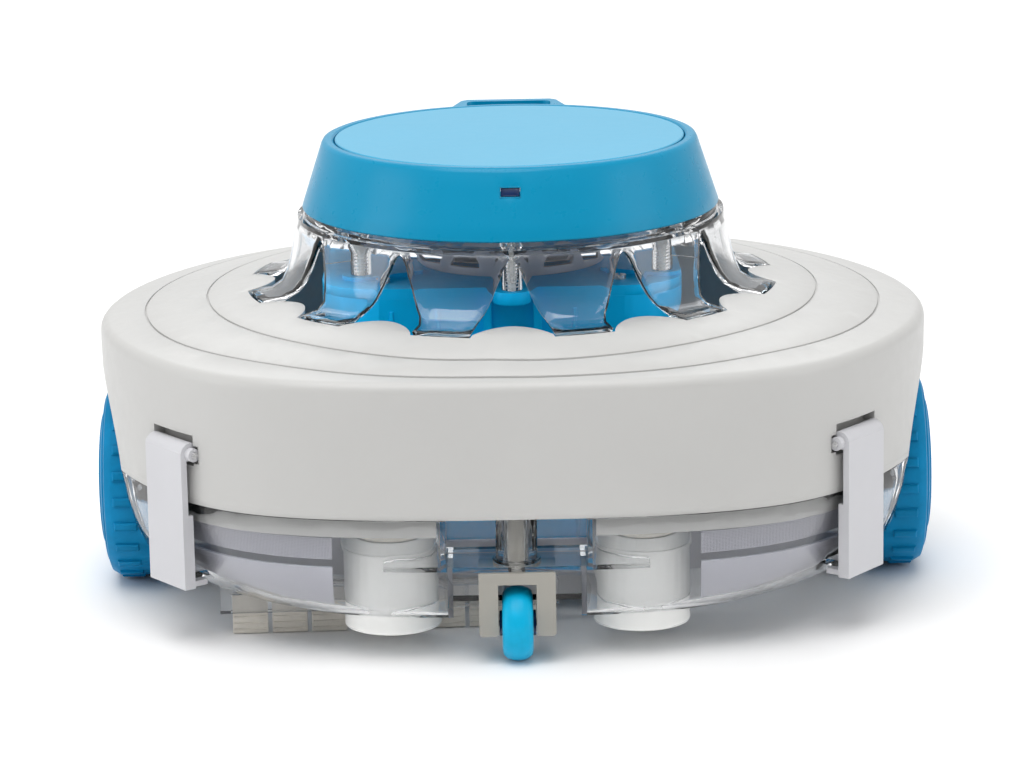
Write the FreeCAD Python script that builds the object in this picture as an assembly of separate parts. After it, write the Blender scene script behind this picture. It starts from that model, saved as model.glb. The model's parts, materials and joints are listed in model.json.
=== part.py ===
"""Cordless pool cleaner: wheeled hull, clear bottom shell, clear outlet skirt and blue cap.

Millimetres, +Z up, the front of the machine faces -Y, the floor is z = 0.
The model is drawn round the vertical axis of the cap and moved at the end so
that the origin is the middle of the footprint on the floor.
"""
import FreeCAD, Part
import math
import os

V = FreeCAD.Vector
UP = V(0, 0, 1)
ALONG_X = V(1, 0, 0)
CENTRE = V(0, 0, 0)

# ---- whole machine ---------------------------------------------------------
FRONT_REACH = 161.7
REAR_REACH = 208.6
AXIS_Y = (FRONT_REACH - REAR_REACH) / 2
OUTLINE_STEP = 15
OUTLINE = (158.2, 163.0, 175.5, 190.0, 196.0, 200.5, 205.0,
           207.0, 208.0, 208.0, 207.0, 207.0, 207.0)
FIT = 0.05

# ---- white top cover -------------------------------------------------------
COVER_WALL = 2.6
COVER_FOOT_Z = 71.5
COVER_SHOULDER_Z = 131.5
COVER_RIM_Z = 137.5
RIM_ROUND = 6.0
RIM_STEPS = 6
CROWN_R, CROWN_Z = 130.0, 153.0
CROWN_INNER_R, CROWN_INNER_Z = 105.0, 156.0
FOOT_POCKET_R = 131.5
TONGUE_R = 117.5
LIP_INSET, LIP_FOOT_INSET, LIP_WALL, LIP_FOOT_Z = 3.9, 5.1, 2.0, 62.0
GROOVE_WIDTH, GROOVE_DEPTH = 1.1, 0.9
INNER_GROOVE = (142.5, 144.8, 148.0, 150.2, 151.0, 151.0, 151.0,
                151.5, 152.0, 153.0, 154.0, 154.7, 155.0)
OUTER_GROOVE = (151.3, 155.3, 164.0, 172.0, 177.5, 180.5, 182.0,
                183.5, 184.5, 185.5, 186.0, 186.0, 186.0)

# ---- clear bottom shell ----------------------------------------------------
SHELL_WALL = 2.4
SHELL_TOP_Z = 71.3
BOWL_FOOT_Z = 22.0
BOWL = ((BOWL_FOOT_Z, 30.0), (24.0, 23.0), (28.0, 16.5), (34.0, 11.0),
        (44.0, 6.0), (58.0, 2.4), (71.3, 0.8))
FRONT_DRAFT = 0.34
FRONT_DRAFT_END, SIDE_DRAFT_START = 24.0, 52.0

# ---- drive wheels ----------------------------------------------------------
WHEEL_Y, WHEEL_R = 13.6, 50.5
WHEEL_INNER_X, WHEEL_OUTER_X = 172.0, 209.0
BUSH_R, BUSH_FLANGE_R = 8.0, 11.0
HUB_R, HUB_SEAT_R = 13.0, 15.3
VENT_R, VENT_RING_R, VENT_COUNT = 4.2, 29.0, 5
TREAD_R, TREAD_BORE_R = 49.4, 46.0
LUG_COUNT, LUG_WIDTH = 24, 4.4
LUG_X = (187.6, 199.2)
TREAD_SHOULDER_R = 48.0
WELL_R, WELL_WALL, WELL_X = 70.0, 2.5, 165.0
SHAFT_R = 4.0

# ---- casters ---------------------------------------------------------------
FRONT_CASTER_Y, REAR_CASTER_Y = -144.0, 165.0
CASTER_R, CASTER_WIDTH = 17.7, 14.5
FORK_WIDTH, FORK_DEPTH, FORK_LEG = 36.0, 20.0, 9.0
SHELF_Z, SHELF_WALL = 46.0, 2.4
NOTCH_HALF, NOTCH_BACK = 30.0, 22.5
RECESS_HALF, RECESS_BACK = 33.0, 12.5
POST_R, POST_TOP_Z, STEM_R, STEM_TOP_Z = 9.75, 80.0, 4.0, 84.0
FORK_FOOT_Z, FORK_BRIDGE_Z, FORK_TOP_Z = 14.0, 39.0, 44.6
AXLE_R, AXLE_END_R, CASTER_HUB_R = 1.55, 1.9, 6.0

# ---- inlets ----------------------------------------------------------------
INLET_X, INLET_Y, INLET_R = 59.0, -120.0, 23.0
INLET_WALL = 1.8
INLET_FOOT_Z, INLET_TOP_Z = 12.5, 57.0

# ---- filter tray -----------------------------------------------------------
TRAY_FOOT_Z, TRAY_TOP_Z, TRAY_GAP, TRAY_WALL = 26.0, 47.0, 1.6, 1.8
SCREEN_FOOT_Z, SCREEN_TOP_Z, SCREEN_WALL = 50.5, 61.0, 1.0
DAM_Y, DAM_TOP_Z = -85.0, 42.0

# ---- sweeper strip ---------------------------------------------------------
SWEEPER_X, SWEEPER_Y, SWEEPER_DEPTH = (-143.2, 20.0), -92.3, 8.0
SWEEPER_FOOT_Z, SWEEPER_SLANT = 11.2, 2.4
FLAP_COUNT, FLAP_PITCH, FLAP_WIDTH, FLAP_FOOT_Z = 8, 19.0, 17.0, 0.5

# ---- outlet skirt and cap --------------------------------------------------
PETALS = 12
SKIRT_WALL = 2.4
FLANGE_R, FLANGE_Z, FLANGE_TOP_Z = 105.3, 185.4, 188.0
COLLAR_R = 101.6
PETAL_PROFILE = ((105.0, 187.0), (106.5, 182.0), (109.0, 169.5), (111.0, 163.0),
                 (114.0, 157.5), (119.5, 154.6), (129.5, 153.4))
ARCH_PROFILE = ((0.0, 184.0), (1.4, 181.5), (2.8, 175.6), (4.6, 167.5),
                (6.4, 160.0), (8.6, 153.5), (9.2, 150.0))
BOSS_RING_R, BOSS_R, BOSS_COUNT = 84.0, 5.0, 6
SCREW_R, SCREW_HEAD_R, KEY_R = 1.9, 3.8, 1.6
CAP_FOOT_R, CAP_FOOT_Z = 102.8, 191.4
CAP_RIM_R, CAP_TOP_Z = 92.0, 225.0
CAP_WALL = 2.8
DISC_R = 86.0

# ---- power unit ------------------------------------------------------------
CASE_X = (-92.0, 82.0)
CASE_Y = (-70.0, 75.0)
CASE_Z = (26.4, 158.0)
CASE_CORNER_R, CASE_WALL = 28.0, 2.6
LID_TOP_Z = 163.0
CASE_FOOT_R, CASE_RIB = 6.0, 4.0
LUG_TOP_Z, LUG_FOOT_Z, BOSS_LUG_R = 164.9, 159.0, 9.0
LID_SCREW_R, LID_HEAD_R = 1.65, 3.2
CELL_R, CELL_FOOT_Z, CELL_TOP_Z = 9.1, 29.2, 94.0
PUMP_R, PUMP_FOOT_Z = 17.5, 98.0
IMPELLER_R, IMPELLER_FOOT_Z, BLADE_COUNT, BLADE_WALL = 36.0, 168.0, 6, 1.8
PUMP_SHAFT_R = 2.0
CAGE_R, CAGE_BORE_R, CAGE_TOP_Z, CAGE_WINDOWS = 46.0, 43.5, 184.0, 12

# ---- latches ---------------------------------------------------------------
FRONT_LATCH = (56.5, 53.0)
REAR_LATCH = (124.0, 124.0)
LATCH_WIDTH, LATCH_WALL, LATCH_GAP = 31.0, 3.2, 2.2
LATCH_PIVOT_Z, LATCH_FOOT_Z = 96.0, 30.0
LATCH_BARREL_R, LATCH_PIN_R, LATCH_EAR = 3.2, 1.5, 3.4

# ---- rear panel ------------------------------------------------------------
PANEL_Z = 105.0
BUTTON_X, SOCKET_X = -24.0, 24.0
BUTTON_R, BUTTON_COLLAR_R = 5.6, 7.2
SLEEVE_R, SLEEVE_FLANGE_R, SLEEVE_END_Y, FLANGE_END_Y = 8.2, 10.5, 206.6, 200.6
PANEL_HOLE_R, PORT_R = 8.3, 4.0


# ============================ small helpers =================================
def box(x, y, z):
    """Block between the two ends given for each axis."""
    return Part.makeBox(x[1] - x[0], y[1] - y[0], z[1] - z[0], V(x[0], y[0], z[0]))


def rod(radius, z0, z1, x=0.0, y=0.0):
    """Upright cylinder."""
    return Part.makeCylinder(radius, z1 - z0, V(x, y, z0), UP)


def rod_x(radius, x0, x1, y, z):
    """Cylinder lying along X."""
    low, high = min(x0, x1), max(x0, x1)
    return Part.makeCylinder(radius, high - low, V(low, y, z), ALONG_X)


def rod_y(radius, y0, y1, x, z):
    """Cylinder lying along Y."""
    return Part.makeCylinder(radius, y1 - y0, V(x, y0, z), V(0, 1, 0))


def tube(outer, inner, z0, z1, x=0.0, y=0.0):
    """Upright pipe."""
    return rod(outer, z0, z1, x, y).cut(rod(inner, z0 - 1, z1 + 1, x, y))


def tube_x(outer, inner, x0, x1, y, z):
    """Pipe lying along X."""
    low, high = min(x0, x1), max(x0, x1)
    return rod_x(outer, low, high, y, z).cut(rod_x(inner, low - 1, high + 1, y, z))


def rounded_block(x, y, z, radius):
    """Block with its four upright edges rounded."""
    block = box(x, y, z)
    upright = [e for e in block.Edges if abs(e.tangentAt(e.FirstParameter).z) > 0.99]
    return block.makeFillet(radius, upright)


def turned(profile):
    """Solid of revolution about Z from a closed (radius, z) outline."""
    points = [V(r, 0, z) for r, z in profile]
    face = Part.Face(Part.makePolygon(points + [points[0]]))
    return face.revolve(CENTRE, UP, 360)


def turned_x(profile, y, z):
    """Solid of revolution about a line along X from a closed (x, radius) outline."""
    points = [V(x, y, z + r) for x, r in profile]
    face = Part.Face(Part.makePolygon(points + [points[0]]))
    return face.revolve(V(0, y, z), ALONG_X, 360)


def mirrored(shape):
    """The same shape on the other side of the machine."""
    return shape.mirror(CENTRE, ALONG_X)


def joined(first, *others):
    """One solid from overlapping shapes."""
    return first.fuse(list(others)).removeSplitter()


def built_up(body, additions, cuts):
    """Body after adding and then cutting shapes one after another."""
    for shape in additions:
        body = body.fuse(shape)
    for shape in cuts:
        body = body.cut(shape)
    return body


def around(shape, count, start=0.0):
    """Copies of a shape spaced evenly about the vertical axis."""
    copies = []
    for index in range(count):
        copy = shape.copy()
        copy.rotate(CENTRE, UP, start + index * 360.0 / count)
        copies.append(copy)
    return copies


# ============================ plan outline ==================================
def blend(table, azimuth):
    """Value of a half table at an azimuth counted from the front."""
    step = 180.0 / (len(table) - 1)
    place = abs((azimuth + 180.0) % 360.0 - 180.0) / step
    low = min(int(place), len(table) - 2)
    share = place - low
    return table[low] * (1 - share) + table[low + 1] * share


def polar_wire(radius_at, z_at):
    """Smooth closed wire through points every few degrees round the axis."""
    count = 360 // OUTLINE_STEP
    points = []
    for index in range(count):
        azimuth = index * OUTLINE_STEP
        turn = math.radians(azimuth)
        radius = radius_at(azimuth)
        points.append(V(radius * math.sin(turn), -radius * math.cos(turn), z_at(azimuth)))
    curve = Part.BSplineCurve()
    curve.interpolate(Points=points, PeriodicFlag=True, Parameters=list(range(count + 1)))
    return Part.Wire(curve.toShape())


def level_wire(radius_at, z):
    """Smooth closed wire at one height."""
    return polar_wire(radius_at, lambda azimuth: z)


def outline_wire(inset, z):
    """Plan outline of the hull drawn in by an inset."""
    return level_wire(lambda azimuth: blend(OUTLINE, azimuth) - inset, z)


def stacked(wires):
    """Solid through a stack of wires."""
    return Part.makeLoft(wires, True, True)


def heading(azimuth):
    """Horizontal direction at an azimuth counted from the front."""
    turn = math.radians(azimuth)
    return V(math.sin(turn), -math.cos(turn), 0)


# ============================ wheel wells ===================================
def well_space():
    """Space taken out of the hull for the right drive wheel."""
    return rod_x(WELL_R, WELL_X, 240.0, WHEEL_Y, WHEEL_R)


def well_skin():
    """Arch and inner wall that close the hull round the right drive wheel."""
    outer = rod_x(WELL_R + WELL_WALL, WELL_X - WELL_WALL, 240.0, WHEEL_Y, WHEEL_R)
    skin = outer.cut(well_space())
    return skin.cut(rod_x(BUSH_R + FIT, 150.0, 170.0, WHEEL_Y, WHEEL_R))


# ============================ top cover =====================================
def cover_body(shrink):
    """Outside of the cover, or its hollow when drawn in by the wall."""
    wires = [outline_wire(0.8 + shrink, COVER_FOOT_Z - shrink)]
    wires.append(outline_wire(shrink, COVER_SHOULDER_Z - shrink))
    for step in range(1, RIM_STEPS + 1):
        turn = math.radians(90.0 * step / RIM_STEPS)
        inset = RIM_ROUND * (1 - math.cos(turn)) + shrink
        rise = (COVER_RIM_Z - COVER_SHOULDER_Z) * math.sin(turn) - shrink
        wires.append(outline_wire(inset, COVER_SHOULDER_Z + rise))
    wires.append(level_wire(lambda azimuth: CROWN_R, CROWN_Z - shrink))
    wires.append(level_wire(lambda azimuth: CROWN_INNER_R, CROWN_INNER_Z - shrink))
    return stacked(wires)


def groove_ring(table):
    """Thin ring that cuts a decorative groove in the sloping top."""
    walls = []
    for side in (GROOVE_WIDTH / 2, -GROOVE_WIDTH / 2):
        walls.append(stacked([level_wire(
            lambda azimuth, side=side: blend(table, azimuth) + side, z) for z in (120.0, 165.0)]))
    return walls[0].cut(walls[1]).cut(cover_body(GROOVE_DEPTH))


def crown_opening():
    """Scalloped opening with a pocket for each foot of the skirt."""
    pitch = 360.0 / PETALS
    foot_half = 6.35
    edges = []
    for index in range(PETALS):
        middle = (index + 0.5) * pitch
        arc = [heading(middle + turn) * FOOT_POCKET_R for turn in (-foot_half, 0, foot_half)]
        edges.append(Part.Arc(*arc).toShape())
        scallop = []
        for step in range(9):
            share = step / 8.0
            depth = (FOOT_POCKET_R - TONGUE_R) * math.sin(math.pi * share) ** 0.7
            turn = middle + foot_half + share * (pitch - 2 * foot_half)
            scallop.append(heading(turn) * (FOOT_POCKET_R - depth))
        curve = Part.BSplineCurve()
        curve.interpolate(scallop)
        edges.append(curve.toShape())
    face = Part.Face(Part.Wire(edges))
    face.translate(V(0, 0, 140.0))
    return face.extrude(V(0, 0, 25.0))


def latch_frame(shape, latch, side):
    """Move a shape drawn at the front (n = -y, tangent = x) to its latch place."""
    azimuth, facing = latch
    placed = shape.copy()
    placed.rotate(CENTRE, UP, facing)
    placed.translate(heading(azimuth) * blend(OUTLINE, azimuth))
    return placed if side > 0 else mirrored(placed)


def latch_places():
    """Name, place and side of the four latches."""
    return (("front_left", FRONT_LATCH, -1), ("front_right", FRONT_LATCH, 1),
            ("rear_left", REAR_LATCH, -1), ("rear_right", REAR_LATCH, 1))


def latch_pocket():
    """T-shaped recess for the latch pivot, drawn at the front."""
    half = LATCH_WIDTH / 2
    upper = box((-half - 0.8, half + 0.8), (-8.0, 6.5), (90.0, 105.0))
    ears = box((-half - 4.2, half + 4.2), (-8.0, 6.5), (91.4, 100.0))
    return joined(upper, ears)


def latch_pocket_wall():
    """Box of wall behind the latch recess."""
    half = LATCH_WIDTH / 2 + 6.4
    return box((-half, half), (-4.0, 8.7), (87.8, 107.2))


def cover_lip():
    """Inner lip that hangs inside the bottom shell, open at wells and posts."""
    outer = stacked([outline_wire(LIP_FOOT_INSET, LIP_FOOT_Z), outline_wire(LIP_INSET, 72.0),
                     outline_wire(LIP_INSET, 76.0)])
    inner = stacked([outline_wire(LIP_FOOT_INSET + LIP_WALL, LIP_FOOT_Z - 1),
                     outline_wire(LIP_INSET + LIP_WALL, 72.0),
                     outline_wire(LIP_INSET + LIP_WALL, 77.0)])
    half = RECESS_HALF + 4
    well = rod_x(WELL_R + WELL_WALL + 0.3, WELL_X - WELL_WALL - 0.3, 240.0, WHEEL_Y, WHEEL_R)
    well = well.common(box((0, 250), (-100, 150), (0, COVER_FOOT_Z)))
    cuts = [inner, box((-half, half), (-220, 220), (60.0, COVER_FOOT_Z)), well, mirrored(well)]
    return built_up(outer, [], cuts)


def top_cover():
    """White cover with lip, wells, latch recesses, grooves and rear holes."""
    outside = cover_body(0.0)
    shell = outside.cut(cover_body(COVER_WALL))
    step = stacked([outline_wire(0.9, COVER_FOOT_Z), outline_wire(0.7, 74.5)])
    step = step.cut(stacked([outline_wire(LIP_INSET + LIP_WALL, 70.0),
                             outline_wire(LIP_INSET + LIP_WALL, 75.0)]))
    upper = box((-250, 250), (-250, 250), (COVER_FOOT_Z, 200))
    skins = [well_skin().common(upper).common(outside),
             mirrored(well_skin()).common(upper).common(outside)]
    walls = [latch_frame(latch_pocket_wall(), latch, side).common(outside)
             for name, latch, side in latch_places()]
    cuts = [well_space(), mirrored(well_space()), crown_opening(),
            groove_ring(INNER_GROOVE), groove_ring(OUTER_GROOVE)]
    cuts += [latch_frame(latch_pocket(), latch, side) for name, latch, side in latch_places()]
    cuts += [rod_y(PANEL_HOLE_R, 195.0, 215.0, BUTTON_X, PANEL_Z),
             rod_y(PANEL_HOLE_R, 195.0, 215.0, SOCKET_X, PANEL_Z)]
    for caster_y in (FRONT_CASTER_Y, REAR_CASTER_Y):
        cuts.append(rod(POST_R + 0.4, 55.0, 82.0, 0.0, caster_y))
    return built_up(shell, [cover_lip(), step] + skins + walls, cuts)


# ============================ bottom shell ==================================
def draft_share(azimuth):
    """Share of the wall's draft, small across the front."""
    turn = abs((azimuth + 180.0) % 360.0 - 180.0)
    share = (turn - FRONT_DRAFT_END) / (SIDE_DRAFT_START - FRONT_DRAFT_END)
    return FRONT_DRAFT + (1 - FRONT_DRAFT) * min(max(share, 0.0), 1.0)


def bowl_body(shrink, lift=0.0):
    """Outside of the clear bowl, or an inner surface drawn in from it."""
    wires = []
    for z, inset in BOWL:
        wires.append(level_wire(
            lambda azimuth, inset=inset:
                blend(OUTLINE, azimuth) - inset * draft_share(azimuth) - shrink, z + lift))
    return stacked(wires)


def caster_notch(centre_y, wall):
    """Pocket under the shelf where a caster turns, grown by a wall."""
    side = 1 if centre_y > 0 else -1
    inner = centre_y - side * (NOTCH_BACK + wall)
    y = sorted((inner, side * 240.0))
    half = NOTCH_HALF + wall
    return box((-half, half), y, (0.0, SHELF_Z + (SHELF_WALL if wall else 0.0)))


def post_recess(centre_y, wall):
    """Step in the wall above the shelf where the caster post stands."""
    side = 1 if centre_y > 0 else -1
    inner = centre_y - side * (RECESS_BACK + wall)
    y = sorted((inner, side * 240.0))
    half = RECESS_HALF + wall
    return box((-half, half), y, (SHELF_Z + SHELF_WALL, 80.0))


def shelf(centre_y):
    """Cross shelf that carries a caster post."""
    side = 1 if centre_y > 0 else -1
    y = sorted((centre_y - side * (NOTCH_BACK + SHELF_WALL), side * 240.0))
    return box((-62.0, 62.0), y, (SHELF_Z, SHELF_Z + SHELF_WALL))


def latch_catch():
    """Ledge on the shell that a latch hook goes under, drawn at the front."""
    return box((-12.0, 12.0), (0.0, 24.0), (34.0, 37.0))


def bottom_shell():
    """Clear bowl with wells, caster notches, shelves and latch ledges."""
    outside = bowl_body(0.0)
    hollow = bowl_body(SHELL_WALL, SHELL_WALL)
    body = outside.cut(hollow)
    lower = box((-250, 250), (-250, 250), (0, SHELL_TOP_Z))
    additions = [well_skin().common(lower).common(outside),
                 mirrored(well_skin()).common(lower).common(outside)]
    for caster_y in (FRONT_CASTER_Y, REAR_CASTER_Y):
        additions.append(caster_notch(caster_y, SHELL_WALL).common(outside))
        additions.append(post_recess(caster_y, SHELL_WALL).common(outside))
        additions.append(shelf(caster_y).common(outside))
    for name, latch, side in latch_places():
        ledge = latch_frame(latch_catch(), latch, side)
        additions.append(ledge.cut(hollow))
    cuts = [well_space(), mirrored(well_space())]
    for caster_y in (FRONT_CASTER_Y, REAR_CASTER_Y):
        cuts.append(caster_notch(caster_y, 0.0))
        cuts.append(post_recess(caster_y, 0.0))
        cuts.append(rod(STEM_R + FIT, 40.0, 60.0, 0.0, caster_y))
    for side in (-1, 1):
        cuts.append(rod(INLET_R + FIT, 0.0, 60.0, side * INLET_X, INLET_Y))
    return built_up(body, additions, cuts)


# ============================ outlet skirt ==================================
def arch_cutter():
    """Rounded arch cut between two petals, drawn at the front."""
    wires = []
    for distance in (90.0, 140.0):
        left, right = [], []
        for half_angle, z in ARCH_PROFILE:
            across = distance * math.tan(math.radians(half_angle))
            left.append(V(-across, -distance, z))
            right.append(V(across, -distance, z))
        curve = Part.BSplineCurve()
        curve.interpolate(list(reversed(left)) + right[1:])
        foot = Part.LineSegment(right[-1], left[-1]).toShape()
        wires.append(Part.Wire([curve.toShape(), foot]))
    return Part.makeLoft(wires, True, True)


def outlet_skirt():
    """Clear one-piece skirt: collar, flange ring, petals, screw bosses."""
    ring = turned(((76.0, FLANGE_Z), (FLANGE_R, FLANGE_Z), (FLANGE_R, FLANGE_TOP_Z),
                   (COLLAR_R, FLANGE_TOP_Z), (COLLAR_R, 191.2), (98.2, 191.2), (98.2, 194.5),
                   (96.0, 194.5), (96.0, FLANGE_TOP_Z), (76.0, FLANGE_TOP_Z)))
    outer = list(PETAL_PROFILE)
    inner = [(r - SKIRT_WALL, z - 0.6) for r, z in reversed(PETAL_PROFILE[:-2])]
    under = [(129.5, 153.4 - SKIRT_WALL), (118.5, 154.6 - SKIRT_WALL)]
    petals = turned(outer + under + inner)
    petals = built_up(petals, [], around(arch_cutter(), PETALS))
    boss = rod(BOSS_R, 165.0, FLANGE_TOP_Z, 0.0, -BOSS_RING_R)
    boss = boss.fuse(box((-1.0, 1.0), (-103.0, -BOSS_RING_R), (172.0, 187.0)))
    holes = around(rod(SCREW_R + FIT, 160.0, 190.0, 0.0, -BOSS_RING_R), BOSS_COUNT)
    return built_up(petals, [ring] + around(boss, BOSS_COUNT), holes).removeSplitter()


def skirt_screws():
    """Six long screws that clamp the skirt to the power unit."""
    shank = rod(SCREW_R, 160.0, FLANGE_TOP_Z, 0.0, -BOSS_RING_R)
    head = rod(SCREW_HEAD_R, FLANGE_TOP_Z, 190.4, 0.0, -BOSS_RING_R)
    socket = Part.makePolygon([V(KEY_R * math.cos(k * math.pi / 3),
                                 KEY_R * math.sin(k * math.pi / 3), 189.2) for k in range(7)])
    key = Part.Face(socket).extrude(V(0, 0, 3.0))
    key.translate(V(0, -BOSS_RING_R, 0))
    screw = shank.fuse(head).removeSplitter().cut(key)
    return Part.Compound(around(screw, BOSS_COUNT))


# ============================ cap ===========================================
def cap_radius(z):
    """Outer radius of the sloping cap wall."""
    share = (z - CAP_FOOT_Z) / (CAP_TOP_Z - CAP_FOOT_Z)
    return CAP_FOOT_R + share * (CAP_RIM_R - CAP_FOOT_R)


def cap():
    """Blue cap with seat for the disc, carry loop and indicator opening."""
    shell = turned(((CAP_FOOT_R - CAP_WALL, CAP_FOOT_Z), (CAP_FOOT_R - 0.4, CAP_FOOT_Z),
                    (CAP_FOOT_R, CAP_FOOT_Z + 0.6), (CAP_RIM_R + 0.7, 222.8),
                    (CAP_RIM_R - 0.2, 224.4), (CAP_RIM_R - 1.6, CAP_TOP_Z),
                    (DISC_R + 1.8, CAP_TOP_Z), (DISC_R + 0.7, 224.2),
                    (DISC_R + 0.7, 221.6), (0.0, 221.6), (0.0, 219.0),
                    (cap_radius(219.0) - CAP_WALL, 219.0)))
    loop_outline = [V(-30.0, 78.0, 0), V(-30.0, 92.0, 0), V(-25.5, 110.0, 0), V(-22.0, 113.5, 0),
                    V(22.0, 113.5, 0), V(25.5, 110.0, 0), V(30.0, 92.0, 0), V(30.0, 78.0, 0)]
    loop = Part.Face(Part.makePolygon(loop_outline + [loop_outline[0]])).extrude(V(0, 0, 11.0))
    loop.translate(V(0, 0, 213.0))
    wide = [e for e in loop.Edges if min(v.Y for v in e.Vertexes) > 91.0
            and abs(e.tangentAt(e.FirstParameter).z) < 0.1]
    loop = loop.makeFillet(1.6, wide)
    inside = turned(((0.0, 200.0), (cap_radius(200.0) - 1.0, 200.0),
                     (cap_radius(224.5) - 1.0, 224.5), (0.0, 224.5)))
    rim = turned(((0.0, 200.0), (cap_radius(200.0), 200.0), (CAP_RIM_R, 226.0), (0.0, 226.0)))
    slot = rounded_block((-21.5, 21.5), (80.0, 106.5), (205.0, 230.0), 4.0)
    loop = loop.cut(inside).cut(slot.cut(rim))
    body = joined(shell, loop)
    window = box((-4.6, 4.6), (-110.0, -85.0), (211.9, 216.1))
    return body.cut(window)


def cap_disc():
    """Flat inset disc on top of the cap."""
    return turned(((0.0, 221.7), (DISC_R, 221.7), (DISC_R, 224.5),
                   (DISC_R - 0.6, CAP_TOP_Z), (0.0, CAP_TOP_Z)))


def indicator_window():
    """Small dark window on the front of the cap."""
    window = box((-4.5, 4.5), (-110.0, -88.0), (212.0, 216.0))
    outer = turned(((80.0, 205.0), (cap_radius(205.0) - 0.6, 205.0),
                    (cap_radius(222.0) - 0.6, 222.0), (80.0, 222.0)))
    return window.common(outer)


def indicator_board():
    """Circuit board with a lamp and standing pillars under the cap."""
    board = rounded_block((-24.0, 24.0), (-86.0, -60.0), (206.0, 207.6), 2.0)
    lamp = rod(2.5, 207.6, 214.0, 0.0, -82.0)
    pillars = [rod(2.2, 207.6, 219.0, x, -65.0) for x in (-18.0, 18.0)]
    return joined(board, lamp, *pillars)


# ============================ power unit ====================================
def power_case():
    """Blue sealed case standing on the bottom shell."""
    outer = rounded_block(CASE_X, CASE_Y, CASE_Z, CASE_CORNER_R)
    x = (CASE_X[0] + CASE_WALL, CASE_X[1] - CASE_WALL)
    y = (CASE_Y[0] + CASE_WALL, CASE_Y[1] - CASE_WALL)
    hollow = rounded_block(x, y, (CASE_Z[0] + CASE_WALL, CASE_Z[1] + 1), CASE_CORNER_R - CASE_WALL)
    feet = [rod(CASE_FOOT_R, 24.4, CASE_Z[0], sx, sy) for sx in (-60.0, 50.0) for sy in (-45.0, 50.0)]
    ribs = [box((x, x + CASE_RIB), (-76.0, -69.0), (60.0, CASE_Z[1])) for x in (-14.0, 10.0)]
    ribs.append(box((-14.0, 14.0), (-73.0, -69.0), (60.0, CASE_Z[1])))
    return outer.cut(hollow).fuse(feet + ribs).removeSplitter()


def case_lid():
    """Lid of the case with a lug under each skirt boss."""
    plate = rounded_block(CASE_X, CASE_Y, (CASE_Z[1], LID_TOP_Z), CASE_CORNER_R)
    inner = rounded_block((CASE_X[0] + 2.8, CASE_X[1] - 2.8), (CASE_Y[0] + 2.8, CASE_Y[1] - 2.8),
                          (154.0, CASE_Z[1]), CASE_CORNER_R - 2.8)
    core = rounded_block((CASE_X[0] + 5.2, CASE_X[1] - 5.2), (CASE_Y[0] + 5.2, CASE_Y[1] - 5.2),
                         (153.0, CASE_Z[1]), CASE_CORNER_R - 5.2)
    lug = rod(BOSS_LUG_R, LUG_FOOT_Z, LUG_TOP_Z, 0.0, -BOSS_RING_R).fuse(
        box((-BOSS_LUG_R, BOSS_LUG_R), (-BOSS_RING_R, -55.0), (LUG_FOOT_Z, LUG_TOP_Z)))
    body = plate.fuse([inner.cut(core)] + around(lug, BOSS_COUNT))
    cuts = around(rod(SCREW_R + FIT, 150.0, 170.0, 0.0, -BOSS_RING_R), BOSS_COUNT)
    cuts += [rod(4.4, 150.0, 170.0)]
    cuts += [rod(LID_SCREW_R + FIT, 150.0, 170.0, x, y) for x, y in lid_screw_places()]
    return body.cut(cuts).removeSplitter()


def lid_screw_places():
    """Places of the four lid screws."""
    return ((-62.0, -54.0), (52.0, -54.0), (-62.0, 59.0), (52.0, 59.0))


def lid_screws():
    """Four pan-head screws in the lid."""
    screws = []
    for x, y in lid_screw_places():
        head = rod(LID_HEAD_R, LID_TOP_Z, LID_TOP_Z + 2.0, x, y)
        slot = box((x - 0.5, x + 0.5), (y - 4, y + 4), (LID_TOP_Z + 1.1, LID_TOP_Z + 3))
        shank = rod(LID_SCREW_R, 153.0, LID_TOP_Z, x, y)
        screws.append(head.fuse(shank).removeSplitter().cut(slot))
    return Part.Compound(screws)


def battery_cells():
    """Six round cells standing in the case."""
    cells = []
    for x in (-60.0, -40.0, 40.0):
        for y in (-30.0, 35.0):
            cell = rod(CELL_R, CELL_FOOT_Z, CELL_TOP_Z, x, y)
            cell = cell.fuse(rod(3.0, CELL_TOP_Z, CELL_TOP_Z + 1.2, x, y))
            cells.append(cell.removeSplitter())
    return Part.Compound(cells)


def pump_motor():
    """Can of the pump motor, hung from the lid."""
    can = rod(PUMP_R, PUMP_FOOT_Z, 153.5)
    neck = rod(9.0, 153.5, CASE_Z[1])
    bell = rod(8.0, 94.0, PUMP_FOOT_Z)
    bore = rod(PUMP_SHAFT_R + FIT, 146.0, 160.0)
    return joined(can, neck, bell).cut(bore)


def pump_cage():
    """Ring with windows round the impeller."""
    ring = tube(CAGE_R, CAGE_BORE_R, LID_TOP_Z, CAGE_TOP_Z)
    crown = tube(CAGE_R + 2.5, CAGE_BORE_R, CAGE_TOP_Z - 2.5, CAGE_TOP_Z)
    body = joined(ring, crown)
    window = rounded_block((-8.0, 8.0), (-60.0, -30.0), (167.0, 178.5), 1.0)
    return body.cut(around(window, CAGE_WINDOWS))


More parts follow.
